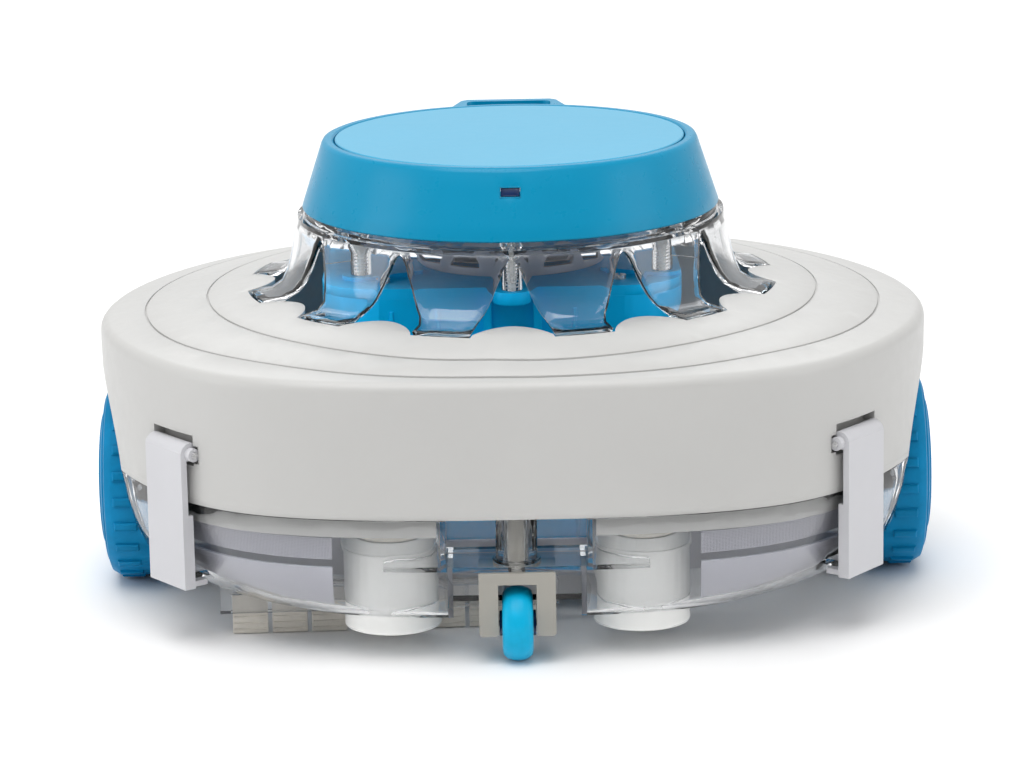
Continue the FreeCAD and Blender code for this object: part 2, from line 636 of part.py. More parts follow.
def impeller():
    """Impeller with hub, bent blades and shaft."""
    hub = rod(9.0, IMPELLER_FOOT_Z, 181.0)
    plate = rod(IMPELLER_R, IMPELLER_FOOT_Z, IMPELLER_FOOT_Z + 1.8)
    blades = []
    for index in range(BLADE_COUNT):
        blade = box((0.0, IMPELLER_R - 7.5), (-BLADE_WALL / 2, BLADE_WALL / 2), (169.0, 179.0))
        blade.translate(V(7.0, 0, 0))
        blade.rotate(V(7.0, 0, 0), UP, 24.0)
        blade.rotate(CENTRE, UP, index * 360.0 / BLADE_COUNT)
        blades.append(blade)
    body = joined(hub, plate, *blades)
    body = body.common(rod(IMPELLER_R, 160.0, 190.0))
    shaft = rod(PUMP_SHAFT_R, 148.0, 168.5)
    tip = rod(PUMP_SHAFT_R, 180.5, 185.0)
    return joined(body, shaft, tip)


def impeller_nut():
    """Acorn nut on the impeller."""
    corners = [V(4.2 * math.cos(k * math.pi / 3), 4.2 * math.sin(k * math.pi / 3), 181.0)
               for k in range(7)]
    nut = Part.Face(Part.makePolygon(corners)).extrude(V(0, 0, 3.2))
    return nut.cut(rod(PUMP_SHAFT_R, 180.0, 186.0))


# ============================ drive =========================================
def gear_motor():
    """Right gear motor: gear box with feet and motor can."""
    gears = rounded_block((118.0, 158.0), (-10.0, 38.0), (28.0, 78.0), 4.0)
    can = rod_x(13.0, 96.0, 118.5, WHEEL_Y, 54.0)
    feet = box((122.0, 154.0), (-14.0, 42.0), (24.4, 28.5))
    bore = rod_x(SHAFT_R + FIT, 148.0, 160.0, WHEEL_Y, WHEEL_R)
    return joined(gears, can, feet).cut(bore)


def axle_bush():
    """Right bearing bush with flange in the well wall."""
    sleeve = tube_x(BUSH_R, SHAFT_R + FIT, 160.0, 167.0, WHEEL_Y, WHEEL_R)
    flange = tube_x(BUSH_FLANGE_R, SHAFT_R + FIT, WELL_X, 167.0, WHEEL_Y, WHEEL_R)
    return joined(sleeve, flange)


def drive_shaft():
    """Right steel axle."""
    shaft = rod_x(SHAFT_R, 149.0, 203.0, WHEEL_Y, WHEEL_R)
    collar = rod_x(6.5, 167.6, 171.8, WHEEL_Y, WHEEL_R)
    return joined(shaft, collar)


def wheel_disc():
    """Right wheel: rim, domed face and hub."""
    profile = ((WHEEL_INNER_X, SHAFT_R), (WHEEL_INNER_X, HUB_R), (194.0, HUB_R), (196.0, 40.0),
               (173.0, 42.5), (173.0, TREAD_BORE_R), (199.0, TREAD_BORE_R), (203.4, 44.0),
               (205.9, 38.0), (207.4, 30.0), (208.2, 20.0), (208.2, HUB_SEAT_R),
               (204.6, HUB_SEAT_R), (204.6, SHAFT_R))
    disc = turned_x(profile, WHEEL_Y, WHEEL_R)
    hole = rod_x(VENT_R, 190.0, 215.0, WHEEL_Y, WHEEL_R + VENT_RING_R)
    vents = []
    for index in range(VENT_COUNT):
        copy = hole.copy()
        copy.rotate(V(0, WHEEL_Y, WHEEL_R), ALONG_X, (index + 0.5) * 360.0 / VENT_COUNT)
        vents.append(copy)
    return disc.cut(vents)


def wheel_tread():
    """Right rubber tread with raised bars on the outer half."""
    band = turned_x(((WHEEL_INNER_X, TREAD_BORE_R), (WHEEL_INNER_X, 48.6), (173.0, TREAD_R),
                     (199.6, TREAD_R), (203.4, 47.2), (204.2, 45.0), (203.4, 44.0),
                     (199.0, TREAD_BORE_R)), WHEEL_Y, WHEEL_R)
    envelope = turned_x(((LUG_X[0], TREAD_SHOULDER_R), (LUG_X[0], WHEEL_R - 0.5),
                         (LUG_X[0] + 0.6, WHEEL_R), (LUG_X[1] - 0.6, WHEEL_R),
                         (LUG_X[1], WHEEL_R - 0.5), (LUG_X[1], TREAD_SHOULDER_R)),
                        WHEEL_Y, WHEEL_R)
    lugs = []
    for index in range(LUG_COUNT):
        block = box((184.0, 206.0), (WHEEL_Y - LUG_WIDTH / 2, WHEEL_Y + LUG_WIDTH / 2), (-3.0, 4.5))
        block.rotate(V(0, WHEEL_Y, WHEEL_R), ALONG_X, index * 360.0 / LUG_COUNT)
        lugs.append(block.common(envelope))
    return built_up(band, lugs, []).removeSplitter()


def hub_cap():
    """Right round cap over the axle end."""
    return turned_x(((204.7, 0.0), (204.7, 15.0), (208.0, 15.0), (208.7, 12.0), (WHEEL_OUTER_X, 6.0),
                     (WHEEL_OUTER_X, 0.0)), WHEEL_Y, WHEEL_R)


# ============================ casters =======================================
def caster_post(centre_y):
    """Clear socket standing on the shelf round the caster stem."""
    post = tube(POST_R, STEM_R + FIT, SHELF_Z + SHELF_WALL, POST_TOP_Z, 0.0, centre_y)
    flange = tube(POST_R + 1.6, STEM_R + FIT, SHELF_Z + SHELF_WALL, 50.0, 0.0, centre_y)
    return joined(post, flange)


def caster_fork(centre_y):
    """Fork with stem, detent crown and two legs."""
    half = FORK_WIDTH / 2
    y = (centre_y - FORK_DEPTH / 2, centre_y + FORK_DEPTH / 2)
    bridge = box((-half, half), y, (FORK_BRIDGE_Z, FORK_TOP_Z))
    legs = [box((-half, -half + FORK_LEG), y, (FORK_FOOT_Z, FORK_BRIDGE_Z + 1.0)),
            box((half - FORK_LEG, half), y, (FORK_FOOT_Z, FORK_BRIDGE_Z + 1.0))]
    body = joined(bridge, *legs)
    corners = [e for e in body.Edges if abs(e.tangentAt(e.FirstParameter).y) > 0.99
               and e.BoundBox.ZMax < 15.0]
    body = body.makeFillet(1.5, corners)
    stem = rod(STEM_R, 44.0, STEM_TOP_Z, 0.0, centre_y)
    crown = rod(8.0, 44.0, 45.7, 0.0, centre_y)
    bore = rod_x(AXLE_END_R, -30.0, 30.0, centre_y, CASTER_R)
    return joined(body, stem, crown).cut(bore)


def stem_clip(centre_y):
    """Snap ring that keeps the stem in its socket."""
    ring = tube(6.4, STEM_R, 80.6, 82.0, 0.0, centre_y)
    return ring.cut(box((-1.5, 1.5), (centre_y, centre_y + 8.0), (80.0, 83.0)))


def caster_wheel(centre_y):
    """Rounded tyre with small hub ends."""
    half = CASTER_WIDTH / 2
    points = [(-half, CASTER_HUB_R), (-half, 12.0)]
    for step in range(0, 9):
        turn = math.radians(180.0 - 180.0 * step / 8)
        points.append((half * math.cos(turn), 12.6 + (CASTER_R - 12.6) * math.sin(turn) ** 0.8))
    points += [(half, CASTER_HUB_R)]
    return turned_x(points, centre_y, CASTER_R)


def caster_hub(centre_y):
    """Core of the caster wheel running on the axle."""
    return tube_x(CASTER_HUB_R, AXLE_R + FIT, -8.6, 8.6, centre_y, CASTER_R)


def caster_axle(centre_y):
    """Steel axle held in the fork legs."""
    half = FORK_WIDTH / 2 - 0.5
    rod_ends = [rod_x(AXLE_END_R, -half, -9.2, centre_y, CASTER_R),
                rod_x(AXLE_END_R, 9.2, half, centre_y, CASTER_R)]
    return rod_x(AXLE_R, -half, half, centre_y, CASTER_R).fuse(rod_ends).removeSplitter()


# ============================ inlets and filter =============================
def inlet_tube():
    """Right inlet tube with foot rim, seam and inner ramp."""
    body = tube(INLET_R, INLET_R - INLET_WALL, INLET_FOOT_Z, INLET_TOP_Z, INLET_X, INLET_Y)
    rim = tube(INLET_R, INLET_R - 3.0, INLET_FOOT_Z, INLET_FOOT_Z + 2.0, INLET_X, INLET_Y)
    seam = tube(INLET_R + 0.8, INLET_R - 0.5, 49.4, 51.0, INLET_X, INLET_Y)
    ramp = box((-30.0, 30.0), (-1.0, 1.0), (-22.0, 22.0))
    ramp.rotate(CENTRE, ALONG_X, 48.0)
    ramp.translate(V(INLET_X, INLET_Y + 4.0, 36.0))
    ramp = ramp.common(rod(INLET_R - 1.0, INLET_FOOT_Z + 3.0, 46.0, INLET_X, INLET_Y))
    ramp = ramp.common(box((INLET_X - 30, INLET_X + 30), (INLET_Y - 30, INLET_Y + 4.0), (0, 60)))
    return joined(body, rim, seam, ramp)


def inlet_flap():
    """Right one-way flap lying on the tube."""
    disc = rod(INLET_R - 0.6, INLET_TOP_Z + 0.3, INLET_TOP_Z + 1.8, INLET_X, INLET_Y)
    tail = box((INLET_X - 6.0, INLET_X + 6.0), (INLET_Y + 18.0, INLET_Y + 26.0),
               (INLET_TOP_Z + 0.3, INLET_TOP_Z + 1.8))
    barrel = rod_x(2.2, INLET_X - 6.0, INLET_X + 6.0, INLET_Y + 27.0, INLET_TOP_Z + 2.0)
    bore = rod_x(1.05, INLET_X - 7.0, INLET_X + 7.0, INLET_Y + 27.0, INLET_TOP_Z + 2.0)
    return joined(disc, tail, barrel).cut(bore)


def flap_bracket():
    """Right bracket and pin that carry the flap."""
    pin = rod_x(1.0, INLET_X - 9.0, INLET_X + 9.0, INLET_Y + 27.0, INLET_TOP_Z + 2.0)
    parts = [pin]
    for x in (INLET_X - 9.0, INLET_X + 6.8):
        parts.append(box((x, x + 2.2), (INLET_Y + INLET_R + 0.9, INLET_Y + 29.5), (48.0, 62.0)))
    parts.append(box((INLET_X - 9.0, INLET_X + 9.0), (INLET_Y + INLET_R + 0.9, INLET_Y + 29.5),
                     (48.0, 50.4)))
    parts.append(box((INLET_X - 2.0, INLET_X + 2.0), (INLET_Y + INLET_R + 0.9, INLET_Y + 29.5),
                     (24.4, 48.5)))
    return joined(*parts)


def tray_band(z0, z1, gap, wall):
    """Band that follows the bowl between two heights, open across the front."""
    band = bowl_body(SHELL_WALL + gap, SHELL_WALL).cut(bowl_body(SHELL_WALL + gap + wall,
                                                                 SHELL_WALL))
    band = band.common(box((-250, 250), (-250, 250), (z0, z1)))
    gaps = [box((-86.0, 86.0), (-240.0, -60.0), (0, 90)),
            box((-65.0, 65.0), (60.0, 240.0), (0, 90)),
            box((150.0, 240.0), (-68.0, 95.0), (0, 90)),
            box((-240.0, -150.0), (-68.0, 95.0), (0, 90))]
    return band.cut(gaps)


def filter_tray():
    """Grey tray walls in the corners of the hull and across behind the inlets."""
    band = tray_band(TRAY_FOOT_Z, TRAY_TOP_Z, TRAY_GAP, TRAY_WALL)
    space = bowl_body(SHELL_WALL + 2.5, SHELL_WALL)
    wall = box((-170.0, 170.0), (DAM_Y, DAM_Y + TRAY_WALL), (24.6, DAM_TOP_Z)).common(space)
    return band.fuse(wall)


def filter_screen():
    """Screen bands above the tray with upright ribs."""
    return tray_band(SCREEN_FOOT_Z, SCREEN_TOP_Z, 3.4, SCREEN_WALL)


# ============================ sweeper strip =================================
def slanted(shape):
    """Turn the sweeper strip so that its left end stands a little further forward."""
    turned_shape = shape.copy()
    turned_shape.rotate(V(-INLET_X, SWEEPER_Y, 0), UP, SWEEPER_SLANT)
    return turned_shape


def sweeper_holder():
    """Clear bar under the shell that grips the rubber flaps."""
    x0, x1 = SWEEPER_X
    y = (SWEEPER_Y - SWEEPER_DEPTH / 2, SWEEPER_Y + SWEEPER_DEPTH / 2)
    bar = box((x0, x1), y, (SWEEPER_FOOT_Z, BOWL_FOOT_Z - 0.1))
    end = box((x0, x0 + 14.0), y, (SWEEPER_FOOT_Z, BOWL_FOOT_Z + 8.0))
    slot = box((x0 + 5.0, x1 - 1.0), (SWEEPER_Y - 1.3, SWEEPER_Y + 1.3), (SWEEPER_FOOT_Z - 1, 20.0))
    return slanted(joined(bar, end).cut(slot)).cut(bowl_body(-0.1))


def sweeper_flaps():
    """Eight rubber flaps that sweep dirt to the inlets."""
    flaps = []
    for index in range(FLAP_COUNT):
        x = SWEEPER_X[0] + 5.8 + index * FLAP_PITCH
        flaps.append(slanted(box((x, x + FLAP_WIDTH), (SWEEPER_Y - 1.2, SWEEPER_Y + 1.2),
                                 (FLAP_FOOT_Z, 19.9))))
    return Part.Compound(flaps)


# ============================ latches =======================================
def latch_arm():
    """Latch with pivot barrel, plate and hook, drawn at the front."""
    half = LATCH_WIDTH / 2
    outer = -(LATCH_GAP + LATCH_WALL)
    plate = box((-half, half), (outer, -LATCH_GAP), (LATCH_FOOT_Z, LATCH_PIVOT_Z + 1.0))
    head = rod_x(LATCH_GAP + LATCH_WALL, -half, half, 0.0, LATCH_PIVOT_Z)
    head = head.common(box((-half, half), (outer, 3.2), (LATCH_PIVOT_Z - 3.2, 110.0)))
    barrel = rod_x(LATCH_BARREL_R, -half - LATCH_EAR, half + LATCH_EAR, 0.0, LATCH_PIVOT_Z)
    hook = box((-12.5, 12.5), (outer, 9.0), (LATCH_FOOT_Z, LATCH_FOOT_Z + 2.6))
    ribs = [box((x, x + 2.2), (-LATCH_GAP - 0.1, 0.4), (LATCH_FOOT_Z, 66.0))
            for x in (-half, half - 2.2)]
    body = joined(plate, head, barrel, hook, *ribs)
    bore_half = half + LATCH_EAR + 1
    return body.cut(rod_x(LATCH_PIN_R + FIT, -bore_half, bore_half, 0.0, LATCH_PIVOT_Z))


def latch_pin():
    """Steel pin through the latch barrel, drawn at the front."""
    half = LATCH_WIDTH / 2 + LATCH_EAR + 0.8
    return rod_x(LATCH_PIN_R, -half, half, 0.0, LATCH_PIVOT_Z)


# ============================ rear panel ====================================
def power_button():
    """Round push button at the rear."""
    stem = rod_y(BUTTON_R, 199.0, 207.5, BUTTON_X, PANEL_Z)
    face = rod_y(BUTTON_R, 207.0, REAR_REACH, BUTTON_X, PANEL_Z)
    rear_edge = [e for e in face.Edges if e.BoundBox.YMin > REAR_REACH - 0.1]
    collar = rod_y(BUTTON_COLLAR_R, 201.2, 202.8, BUTTON_X, PANEL_Z)
    return joined(stem, face.makeFillet(0.8, rear_edge), collar)


def button_housing():
    """Sleeve of the push button."""
    sleeve = rod_y(SLEEVE_R, 195.0, SLEEVE_END_Y, BUTTON_X, PANEL_Z)
    flange = rod_y(SLEEVE_FLANGE_R, 195.0, FLANGE_END_Y, BUTTON_X, PANEL_Z)
    body = joined(sleeve, flange)
    room = rod_y(BUTTON_COLLAR_R + 0.4, 196.4, 203.0, BUTTON_X, PANEL_Z)
    bore = rod_y(BUTTON_R + 0.4, 196.4, 212.0, BUTTON_X, PANEL_Z)
    return body.cut([room, bore])


def charge_socket():
    """Charging socket beside the button."""
    body = joined(rod_y(SLEEVE_R, 191.0, SLEEVE_END_Y, SOCKET_X, PANEL_Z),
                  rod_y(SLEEVE_FLANGE_R, 191.0, FLANGE_END_Y, SOCKET_X, PANEL_Z))
    return body.cut(rod_y(PORT_R, 196.0, 212.0, SOCKET_X, PANEL_Z))


# ============================ assembly ======================================
def paired_nodes():
    """Right-hand pieces that also exist mirrored on the left."""
    return {"gear_motor": gear_motor(), "axle_bush": axle_bush(), "drive_shaft": drive_shaft(),
            "wheel_disc": wheel_disc(), "wheel_tread": wheel_tread(), "hub_cap": hub_cap(),
            "inlet_tube": inlet_tube(), "inlet_flap": inlet_flap(),
            "flap_bracket": flap_bracket()}


def caster_nodes():
    """Pieces of the front and the rear caster."""
    nodes = {}
    for end, centre_y in (("front", FRONT_CASTER_Y), ("rear", REAR_CASTER_Y)):
        nodes[end + "_caster_post"] = caster_post(centre_y)
        nodes[end + "_caster_fork"] = caster_fork(centre_y)
        nodes[end + "_stem_clip"] = stem_clip(centre_y)
        nodes[end + "_caster_tyre"] = caster_wheel(centre_y)
        nodes[end + "_caster_hub"] = caster_hub(centre_y)
        nodes[end + "_caster_axle"] = caster_axle(centre_y)
    return nodes


def all_nodes():
    """Every piece of the machine by name."""
    nodes = {"top_cover": top_cover(), "bottom_shell": bottom_shell(),
             "outlet_skirt": outlet_skirt(), "skirt_screws": skirt_screws(),
             "cap": cap(), "cap_disc": cap_disc(), "indicator_window": indicator_window(),
             "indicator_board": indicator_board(), "power_case": power_case(),
             "case_lid": case_lid(), "lid_screws": lid_screws(),
             "battery_cells": battery_cells(), "pump_motor": pump_motor(),
             "pump_cage": pump_cage(), "impeller": impeller(), "impeller_nut": impeller_nut(),
             "filter_tray": filter_tray(), "filter_screen": filter_screen(),
             "sweeper_holder": sweeper_holder(), "sweeper_flaps": sweeper_flaps(),
             "power_button": power_button(), "button_housing": button_housing(),
             "charge_socket": charge_socket()}
    for name, shape in paired_nodes().items():
        nodes["right_" + name] = shape
        nodes["left_" + name] = mirrored(shape)
    nodes.update(caster_nodes())
    pins = []
    for name, latch, side in latch_places():
        nodes[name + "_latch"] = latch_frame(latch_arm(), latch, side)
        pins.append(latch_frame(latch_pin(), latch, side))
    nodes["latch_pins"] = Part.Compound(pins)
    return nodes


def main():
    """Write one STEP file for each piece."""
    os.makedirs("parts", exist_ok=True)
    for name, shape in all_nodes().items():
        placed = shape.copy()
        placed.translate(V(0, AXIS_Y, 0))
        placed.exportStep(os.path.join("parts", name + ".step"))


main()
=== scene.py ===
"""Looks of the cordless pool cleaner: finishes, fine moulded detail, studio and camera."""

import json
import logging
import math
from abc import ABC, abstractmethod
from dataclasses import dataclass, field
from enum import Enum
from typing import Iterable, Sequence

import bpy
from mathutils import Matrix, Vector


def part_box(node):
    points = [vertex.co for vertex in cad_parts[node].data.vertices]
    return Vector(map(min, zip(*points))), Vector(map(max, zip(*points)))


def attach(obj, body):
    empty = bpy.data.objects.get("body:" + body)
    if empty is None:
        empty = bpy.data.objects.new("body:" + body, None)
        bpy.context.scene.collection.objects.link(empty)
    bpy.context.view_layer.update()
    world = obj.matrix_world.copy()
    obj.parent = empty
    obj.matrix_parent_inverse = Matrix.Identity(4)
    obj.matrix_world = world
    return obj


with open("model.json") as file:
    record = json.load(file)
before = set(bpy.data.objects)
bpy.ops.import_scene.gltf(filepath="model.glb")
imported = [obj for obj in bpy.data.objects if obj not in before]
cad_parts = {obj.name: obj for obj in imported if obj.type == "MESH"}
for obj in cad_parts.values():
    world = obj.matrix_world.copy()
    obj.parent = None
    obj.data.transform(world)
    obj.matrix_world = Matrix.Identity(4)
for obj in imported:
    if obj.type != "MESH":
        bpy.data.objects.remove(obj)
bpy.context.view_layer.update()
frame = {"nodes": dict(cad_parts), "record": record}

LOG = logging.getLogger("pool_cleaner")
Colour = tuple[float, float, float]
MM = 0.001


class Slot(Enum):
    """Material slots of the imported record."""

    WHITE_COVER = "white_cover"
    WHITE_LATCH = "white_latch"
    CLEAR_SHELL = "clear_shell"
    CLEAR_SKIRT = "clear_skirt"
    FROSTED_TUBE = "frosted_tube"
    CAP_BLUE = "cap_blue"
    CASE_BLUE = "case_blue"
    WHEEL_BLUE = "wheel_blue"
    TREAD_BLUE = "tread_blue"
    CASTER_BLUE = "caster_blue"
    NAVY = "navy"
    TRAY_GREY = "tray_grey"
    SCREEN_GREY = "screen_grey"
    FLAP_RUBBER = "flap_rubber"
    STEEL = "steel"
    BRASS_BUSH = "brass_bush"
    DARK_PLASTIC = "dark_plastic"
    BOARD = "board"
    CELL_WRAP = "cell_wrap"


class Axis(Enum):
    """Axis that a turned piece is round."""

    X = "x"
    Z = "z"


# ---------------------------------------------------------------- finishes
PLASTIC_IOR, CLEAR_IOR, RUBBER_IOR = 1.49, 1.5, 1.52
CLOUD_SCALE, SPECKLE_SCALE, SCUFF_SCALE, SWELL_SCALE = 14.0, 1500.0, 160.0, 22.0
RINSE_SCALE, FLOW_SCALE = 90.0, 28.0
BLOOM_SCALE, PORE_SCALE = 45.0, 2100.0
TOOL_MARK_SCALE, STAIN_SCALE = 2600.0, 60.0
SWELL_DEPTH, PORE_DEPTH, TOOL_MARK_DEPTH, WEAVE_DEPTH = 0.0002, 0.00006, 0.00003, 0.0003
GLOW_REACH = (0.004, 0.004, 0.0035)
WAVE_PER_THREAD = 0.314


class NodeSheet:
    """Small helper that lays out the nodes of one material."""

    def __init__(self, name: str) -> None:
        """Make an empty material.

        Args:
            name: name of the material.
        """
        self.material = bpy.data.materials.new(name)
        self.material.use_nodes = True
        self.tree = self.material.node_tree
        self.tree.nodes.clear()
        self.output = self.tree.nodes.new("ShaderNodeOutputMaterial")
        self.coordinates = self.tree.nodes.new("ShaderNodeTexCoord").outputs["Object"]

    def add(self, kind: str, **values: object) -> bpy.types.Node:
        """Add a node and set its plain input values.

        Args:
            kind: Blender's class name of the node.
            **values: input names, with spaces as underscores, and their values.

        Returns:
            The new node.
        """
        node = self.tree.nodes.new(kind)
        for key, value in values.items():
            node.inputs[key.replace("_", " ")].default_value = value
        return node

    def join(self, source: bpy.types.NodeSocket, target: bpy.types.NodeSocket) -> None:
        """Link two sockets."""
        self.tree.links.new(source, target)

    def noise(self, scale: float, detail: float = 3.0, stretch: Sequence[float] = (1, 1, 1),
              roughness: float = 0.5) -> bpy.types.NodeSocket:
        """Noise over the piece's own coordinates.

        Args:
            scale: features per metre.
            detail: octaves of noise.
            stretch: scale along each axis.
            roughness: weight of the finer octaves.

        Returns:
            The socket that carries the grey value.
        """
        mapping = self.add("ShaderNodeMapping", Scale=tuple(stretch))
        self.join(self.coordinates, mapping.inputs["Vector"])
        node = self.add("ShaderNodeTexNoise", Scale=scale, Detail=detail, Roughness=roughness)
        self.join(mapping.outputs["Vector"], node.inputs["Vector"])
        return node.outputs["Fac"]

    def ramp(self, source: bpy.types.NodeSocket, low: float, high: float,
             start: float = 0.3, end: float = 0.7) -> bpy.types.NodeSocket:
        """Grey value mapped to a range.

        Args:
            source: grey value.
            low: result at start.
            high: result at end.
            start: source value that gives low.
            end: source value that gives high.

        Returns:
            The mapped value.
        """
        node = self.add("ShaderNodeMapRange", From_Min=start, From_Max=end, To_Min=low, To_Max=high)
        self.join(source, node.inputs["Value"])
        return node.outputs["Result"]

    def tint(self, share: bpy.types.NodeSocket, first: Colour, second: Colour) -> bpy.types.NodeSocket:
        """Mix of two colours by a grey value.

        Args:
            share: weight of the second colour.
            first: colour where the share is zero.
            second: colour where the share is one.

        Returns:
            The mixed colour.
        """
        node = self.tree.nodes.new("ShaderNodeMix")
        node.data_type = "RGBA"
        self.join(share, node.inputs["Factor"])
        colour = [s for s in node.inputs if s.type == "RGBA"]
        colour[0].default_value = (*first, 1.0)
        colour[1].default_value = (*second, 1.0)
        return [s for s in node.outputs if s.type == "RGBA"][0]

    def bump(self, height: bpy.types.NodeSocket, strength: float, distance: float,
             under: bpy.types.NodeSocket | None = None) -> bpy.types.NodeSocket:
        """Surface relief from a height.

        Args:
            height: grey height.
            strength: share of the relief that shows.
            distance: depth of the relief in metres.
            under: relief that this one lies on.

        Returns:
            The bent normal.
        """
        node = self.add("ShaderNodeBump", Strength=strength, Distance=distance)
        self.join(height, node.inputs["Height"])
        if under is not None:
            self.join(under, node.inputs["Normal"])
        return node.outputs["Normal"]

    def finish_with(self, shader: bpy.types.NodeSocket) -> bpy.types.Material:
        """Connect the last shader and hand over the material."""
        self.join(shader, self.output.inputs["Surface"])
        return self.material


def shade(colour: Colour, factor: float) -> Colour:
    """Colour made lighter or darker by a factor."""
    return tuple(min(1.0, part * factor) for part in colour)


@dataclass(frozen=True)
class Finish(ABC):
    """A finish that can be made into a material.

    Attributes:
        name: name of the material.
    """

    name: str

    @abstractmethod
    def build(self) -> bpy.types.Material:
        """Make the material."""


@dataclass(frozen=True)
class MouldedPlastic(Finish):
    """Opaque moulded plastic with spark-eroded grain and handling marks.

    Attributes:
        colour: linear base colour.
        roughness: mean roughness.
        grain: depth of the grain in metres.
        coat: weight of the glossy skin.
        mottle: how much the colour varies.
        shine: strength of the surface reflection.
        scuff: how much the roughness varies.
        glow: weight of light that travels inside the plastic.
    """

    colour: Colour
    roughness: float = 0.38
    grain: float = 0.00004
    coat: float = 0.0
    mottle: float = 0.04
    shine: float = 0.5
    scuff: float = 0.06
    glow: float = 0.0

    def build(self) -> bpy.types.Material:
        """Make the material."""
        sheet = NodeSheet(self.name)
        cloud = sheet.noise(CLOUD_SCALE, 4.0)
        speckle = sheet.noise(SPECKLE_SCALE, 2.0)
        scuffs = sheet.noise(SCUFF_SCALE, 5.0, roughness=0.65)
        share = sheet.ramp(cloud, 0.0, 1.0)
        colour = sheet.tint(share, shade(self.colour, 1.0 - self.mottle),
                            shade(self.colour, 1.0 + self.mottle))
        bsdf = sheet.add("ShaderNodeBsdfPrincipled", IOR=PLASTIC_IOR, Coat_Weight=self.coat,
                         Coat_Roughness=0.12, Subsurface_Weight=self.glow,
                         Specular_IOR_Level=self.shine)
        bsdf.inputs["Subsurface Radius"].default_value = GLOW_REACH
        rough = sheet.ramp(scuffs, self.roughness - self.scuff, self.roughness + self.scuff, 0.35, 0.75)
        sheet.join(colour, bsdf.inputs["Base Color"])
        sheet.join(rough, bsdf.inputs["Roughness"])
        ripple = sheet.bump(sheet.noise(SWELL_SCALE, 1.0), 0.25, SWELL_DEPTH)
        sheet.join(sheet.bump(speckle, 0.35, self.grain, ripple), bsdf.inputs["Normal"])
        return sheet.finish_with(bsdf.outputs["BSDF"])


@dataclass(frozen=True)
class ClearPlastic(Finish):
    """Clear or frosted polycarbonate with flow ripple and rinse marks.

    Attributes:
        tint: colour that the plastic passes.
        roughness: mean roughness of the skin.
        shadow: colour that light keeps on its way through.
        ripple: depth of the moulding ripple in metres.
        clearness: weight of what is passed, the rest is milky.
        shine: strength of the surface reflection.
    """

    tint: Colour
    roughness: float = 0.03
    shadow: Colour = (0.96, 0.97, 0.98)
    ripple: float = 0.00025
    clearness: float = 1.0
    shine: float = 0.32

    def build(self) -> bpy.types.Material:
        """Make the material."""
        sheet = NodeSheet(self.name)
        bsdf = sheet.add("ShaderNodeBsdfPrincipled", Base_Color=(*self.tint, 1.0), IOR=CLEAR_IOR,
                         Transmission_Weight=self.clearness, Specular_IOR_Level=self.shine)
        marks = sheet.noise(RINSE_SCALE, 5.0, (1.0, 1.0, 0.4), 0.6)
        rough = sheet.ramp(marks, self.roughness, self.roughness * 2.5 + 0.02, 0.45, 0.8)
        sheet.join(rough, bsdf.inputs["Roughness"])
        flow = sheet.noise(FLOW_SCALE, 2.0, (1.0, 1.0, 0.5))
        sheet.join(sheet.bump(flow, 0.4, self.ripple), bsdf.inputs["Normal"])
        passed = sheet.add("ShaderNodeBsdfTransparent", Color=(*self.shadow, 1.0))
        path = sheet.tree.nodes.new("ShaderNodeLightPath")
        mix = sheet.tree.nodes.new("ShaderNodeMixShader")
        sheet.join(path.outputs["Is Shadow Ray"], mix.inputs[0])
        sheet.join(bsdf.outputs["BSDF"], mix.inputs[1])
        sheet.join(passed.outputs["BSDF"], mix.inputs[2])
        return sheet.finish_with(mix.outputs["Shader"])


@dataclass(frozen=True)
class SoftRubber(Finish):
    """Matt moulded rubber with a powdery bloom and fine pores.

    Attributes:
        colour: linear base colour.
        roughness: mean roughness.
        bloom: weight of the soft sheen.
        shine: strength of the surface reflection.
    """

    colour: Colour
    roughness: float = 0.62
    bloom: float = 0.15
    shine: float = 0.4

    def build(self) -> bpy.types.Material:
        """Make the material."""
        sheet = NodeSheet(self.name)
        cloud = sheet.noise(BLOOM_SCALE, 5.0, roughness=0.65)
        pores = sheet.noise(PORE_SCALE, 2.0)
        share = sheet.ramp(cloud, 0.0, 1.0, 0.35, 0.7)
        colour = sheet.tint(share, shade(self.colour, 0.88), shade(self.colour, 1.12))
        bsdf = sheet.add("ShaderNodeBsdfPrincipled", IOR=RUBBER_IOR, Sheen_Weight=self.bloom,
                         Sheen_Roughness=0.5, Specular_IOR_Level=self.shine)
        rough = sheet.ramp(cloud, self.roughness + 0.08, self.roughness - 0.06)
        sheet.join(colour, bsdf.inputs["Base Color"])
        sheet.join(rough, bsdf.inputs["Roughness"])
        sheet.join(sheet.bump(pores, 0.5, PORE_DEPTH), bsdf.inputs["Normal"])
        return sheet.finish_with(bsdf.outputs["BSDF"])


